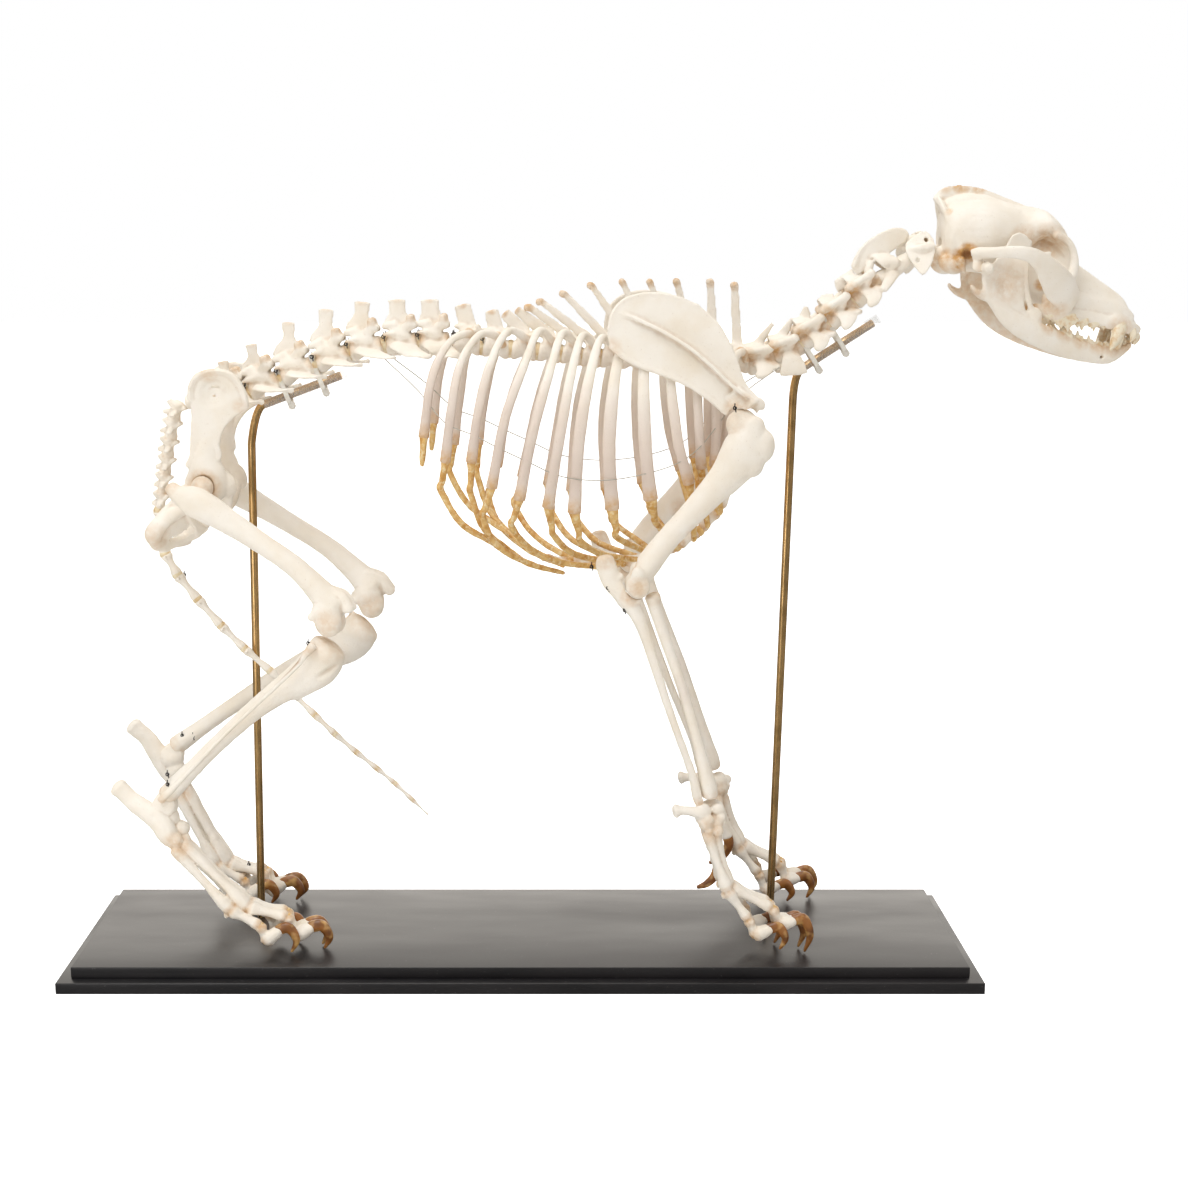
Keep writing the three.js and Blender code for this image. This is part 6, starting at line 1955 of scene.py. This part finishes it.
@dataclass
class Mount:
    """The stepped baseboard, the brass rods and what ties them to the vertebrae."""

    coat: Coat
    plinth: Point = (800.0, 212.0, 10.0)
    board: Point = (778.0, 190.0, 10.0)
    edge: float = 0.8
    rod: float = 3.5
    sleeve: float = 5.0

    def slab(self, name: str, size: Point, low: float, hidden: str) -> None:
        """One slab of the board, with its edges eased.

        Args:
            name: the piece's name.
            size: its length, width and thickness.
            low: its underside's height.
            hidden: the solid it stands for.
        """
        bpy.ops.object.select_all(action="DESELECT")
        bpy.ops.mesh.primitive_cube_add(size=1.0, location=(0.0, 0.0, (low + size[2] / 2) * MM))
        piece = bpy.context.object
        piece.name = name
        bpy.ops.transform.resize(value=[v * MM for v in size])
        bpy.ops.object.transform_apply(location=True, rotation=True, scale=True)
        apply(piece, "BEVEL", width=self.edge * MM, segments=3, limit_method="ANGLE")
        bpy.ops.object.mode_set(mode="EDIT")
        bpy.ops.mesh.select_all(action="SELECT")
        bpy.ops.mesh.subdivide(number_cuts=2)
        bpy.ops.object.mode_set(mode="OBJECT")
        dress(piece, self.coat.board, (hidden,))
        bpy.ops.object.shade_smooth_by_angle(angle=CREASE)

    def rod_points(self, end: str) -> tuple[list[Point], Point, Point]:
        """A rod's run of points, its bend and its tip.

        Args:
            end: front or rear.

        Returns:
            The run, the bend and the tip.
        """
        foot, top, bend, tip = {"rear": ((-243, 16, 12.3), (-235, 0, 470), (-231, 0, 494), (-156, 0, 522)),
            "front": ((230, 16, 12.3), (237, 0, 508), (237.5, 0, 524), (304, 0, 567)), }[end]
        off = blend(bend, tip, 0.1)
        start = blend(foot, top, 0.985)
        curve = [tuple((1 - t) ** 2 * a + 2 * t * (1 - t) * b + t * t * c
            for a, b, c in zip(start, bend, off)) for t in np.linspace(0.0, 1.0, 15)]
        climb = [blend(foot, start, t) for t in np.linspace(0.0, 1.0, 24, endpoint=False)]
        return [*climb, *curve, blend(bend, tip, 0.4), blend(bend, tip, 0.7), tip], bend, tip

    def make_rod(self, end: str) -> None:
        """One rod with its clear sleeve.

        Args:
            end: front or rear.
        """
        points, bend, tip = self.rod_points(end)
        clay = Clay(f"{end}_brass_rod")
        clay.loft([(*point, self.rod) for point in points], 32, 1, dome=0.25)
        plain_piece(clay, self.coat.brass, (f"{end}_rod",))
        length = math.dist(bend, tip)
        clay = Clay(f"{end}_clear_sleeve")
        clay.loft([(*blend(bend, tip, s), self.sleeve) for s in (0.11, 0.4, 0.7, 1 + 6 / length)], 28, 4,
            dome=0.0)
        tube = clay.close()
        bore = Clay("sleeve_bore")
        bore.loft([(*blend(bend, tip, s), self.rod + 0.35) for s in (0.0, 0.5, 1.2)], 28, 2, dome=0.0)
        inner = bore.close()
        apply(tube, "BOOLEAN", operation="DIFFERENCE", object=inner, solver="MANIFOLD")
        bpy.data.objects.remove(inner)
        dress(tube, self.coat.vinyl, (f"{end}_sleeve",))
        bpy.ops.object.shade_smooth_by_angle(angle=CREASE)

    def make_tie(self, end: str, number: int, share: float, lift: float) -> None:
        """A cable tie: a toothed strap round sleeve and vertebra, with its square head and cut tail below.

        Args:
            end: front or rear.
            number: 1 or 2.
            share: its place along the sleeve.
            lift: how far it reaches up.
        """
        _, bend, tip = self.rod_points(end)
        slope = math.atan2(tip[2] - bend[2], tip[0] - bend[0])
        centre = blend(bend, tip, share)
        lean = Matrix.Translation(spot(centre)) @ Matrix.Rotation(-slope, 4,
            "Y") @ Matrix.Diagonal((MM, MM, MM, 1.0))
        clay = Clay(f"{end}_cable_tie_{number}")
        half, below, above = 7.4, 6.1, lift + 9.0
        loop = [(0, -below), (half * 0.75, -below), (half, -below * 0.4), (half, above * 0.5),
            (half, above - 3), (half * 0.75, above), (0, above), (-half * 0.75, above), (-half, above - 3),
            (-half, above * 0.5), (-half, -below * 0.4), (-half * 0.75, -below)]
        clay.wake()
        bpy.ops.mesh.primitive_circle_add(vertices=48, radius=1.0, fill_type="NOTHING")
        mesh = bmesh.from_edit_mesh(clay.piece.data)
        ring = sorted(mesh.verts, key=lambda v: math.atan2(v.co.y, v.co.x))
        run = smooth_run([(0, y, z, 1, 1) for y, z in [loop[-1], *loop, loop[0], loop[1]]], 4)[4:-5]
        for corner, row in zip(ring, run):
            corner.co = (-2.0, row[1], row[2])
        bmesh.update_edit_mesh(clay.piece.data)
        bpy.ops.mesh.extrude_region()
        clay.shift(Matrix.Translation((4.0, 0.0, 0.0)))
        bpy.ops.mesh.select_all(action="SELECT")
        clay.shift(lean)
        bpy.ops.mesh.normals_make_consistent(inside=False)
        bpy.ops.object.mode_set(mode="OBJECT")
        apply(clay.piece, "SOLIDIFY", thickness=1.1 * MM, offset=0.0)
        apply(clay.piece, "BEVEL", width=0.25 * MM, segments=2, limit_method="ANGLE")
        for size, at in (((5.6, 7.0, 5.2), (0, 0, -below - 2.9)), ((3.6, 4.2, 1.4), (0, 0, -below - 6.0))):
            clay.wake()
            bpy.ops.mesh.primitive_cube_add(size=1.0)
            clay.shift(lean @ Matrix.Translation(at) @ Matrix.Diagonal((*size, 1.0)))
            bpy.ops.mesh.bevel(offset=0.7 * MM, segments=3, affect="EDGES")
        piece = clay.close()
        dress(piece, self.coat.nylon, (f"{end}_tie_{number}",))
        bpy.ops.object.shade_smooth_by_angle(angle=math.radians(35))

    def build(self) -> None:
        """Build the mount."""
        self.slab("lower_slab", self.plinth, 0.0, "plinth")
        self.slab("upper_slab", self.board, self.plinth[2], "board")
        for end, lift, shares in (("rear", 16.3, (0.385, 0.785)), ("front", 20.0, (0.245, 0.585))):
            self.make_rod(end)
            for number, share in enumerate(shares, 1):
                self.make_tie(end, number, share, lift)


# Studio

@dataclass
class Studio:
    """The camera, the soft lights and the pale floor."""

    coat: Coat
    place: Point = (0.0257, -1.5133, 0.6246)
    pitch: float = 11.0
    lens: float = 52.85

    def make_camera(self) -> None:
        """The camera at the picture's viewpoint."""
        camera = bpy.data.cameras.new("Camera")
        camera.lens = self.lens
        camera.sensor_width = 36.0
        camera.shift_x = 0.037
        camera.clip_start = 0.01
        holder = bpy.data.objects.new("Camera", camera)
        holder.location = self.place
        holder.rotation_euler = (math.radians(90 - self.pitch), 0.0, 0.0)
        bpy.context.scene.collection.objects.link(holder)
        bpy.context.scene.camera = holder

    def make_light(self, name: str, at: Point, size: float, power: float) -> None:
        """A soft square light that looks at the skeleton.

        Args:
            name: the light's name.
            at: its place in metres.
            size: its width in metres.
            power: its watts.
        """
        light = bpy.data.lights.new(name, "AREA")
        light.size = size
        light.energy = power
        holder = bpy.data.objects.new(name, light)
        holder.location = at
        holder.rotation_euler = (Vector((0.0, 0.0, 0.35)) - Vector(at)).to_track_quat("-Z", "Y").to_euler()
        bpy.context.scene.collection.objects.link(holder)

    def make_floor(self) -> None:
        """The pale floor, far larger than the view."""
        bpy.ops.object.select_all(action="DESELECT")
        bpy.ops.mesh.primitive_plane_add(size=FLOOR_WIDTH, location=(0.0, 0.0, -FLOOR_DROP))
        floor = bpy.context.object
        floor.name = "paper_floor"
        bpy.ops.object.transform_apply(location=True)
        floor.data.materials.append(self.coat.floor)

    def build(self) -> None:
        """Set the studio up."""
        world = bpy.data.worlds.new("Studio")
        world.use_nodes = True
        tree = world.node_tree
        seen = tree.nodes["Background"]
        path = add_node(tree, "ShaderNodeLightPath").outputs
        ray = path["Is Camera Ray"]
        way = add_node(tree, "ShaderNodeTexCoord").outputs["Generated"]
        depth = add_node(tree, "ShaderNodeSeparateXYZ", {0: way}).outputs["Y"]
        wall = add_node(tree, "ShaderNodeMapRange", {"Value": depth, "From Min": 0.3, "From Max": 0.85,
            "To Min": 0.0, "To Max": 1.7}).outputs[0]
        power = add_node(tree, "ShaderNodeMath", {0: path["Is Glossy Ray"], 1: wall, 2: 0.44},
            operation="MULTIPLY_ADD")
        lit = add_node(tree, "ShaderNodeBackground", {"Color": linear("#FFF9F0"),
            "Strength": power.outputs[0]})
        seen.inputs["Color"].default_value = (1.0, 1.0, 1.0, 1.0)
        mixed = add_node(tree, "ShaderNodeMixShader", {0: ray, 1: lit.outputs[0], 2: seen.outputs[0]})
        tree.links.new(mixed.outputs[0], tree.nodes["World Output"].inputs["Surface"])
        bpy.context.scene.world = world
        bpy.context.scene.view_settings.view_transform = "Standard"
        self.make_light("Key_softbox", (-0.8, -1.3, 2.4), 1.4, 27.0)
        self.make_light("Top_softbox", (0.0, 0.1, 2.6), 1.8, 18.0)
        self.make_light("Strip_softbox", (-0.62, -0.75, 0.14), 0.45, 1.3)
        self.make_light("Fill_softbox", (1.9, -1.2, 1.0), 1.2, 4.0)
        self.make_floor()


def main() -> None:
    """Build the studio, the mount and the skeleton."""
    logging.basicConfig(level=logging.INFO, format="%(name)s: %(message)s")
    bpy.ops.object.select_all(action="DESELECT")
    coat = Coat()
    studio = Studio(coat)
    studio.make_camera()
    studio.build()
    Mount(coat).build()
    Skull(coat).build()
    Column(coat).build()
    Cage(coat).build()
    Pelvis(coat).build()
    Forelimb(coat, Side.RIGHT).build()
    Forelimb(coat, Side.LEFT, wrist=(179, 65, 147), palm=(184, 65, 125), ball=(207, 66, 74)).build()
    Hindlimb(coat, Side.RIGHT).build()
    Hindlimb(coat, Side.LEFT, knee=(-134, 62, 311), ankle=(-330, 61, 170), heel=(-366, 61, 190),
        instep=(-323, 61, 132), ball=(-280, 60, 57)).build()


if __name__ == "__main__":
    main()
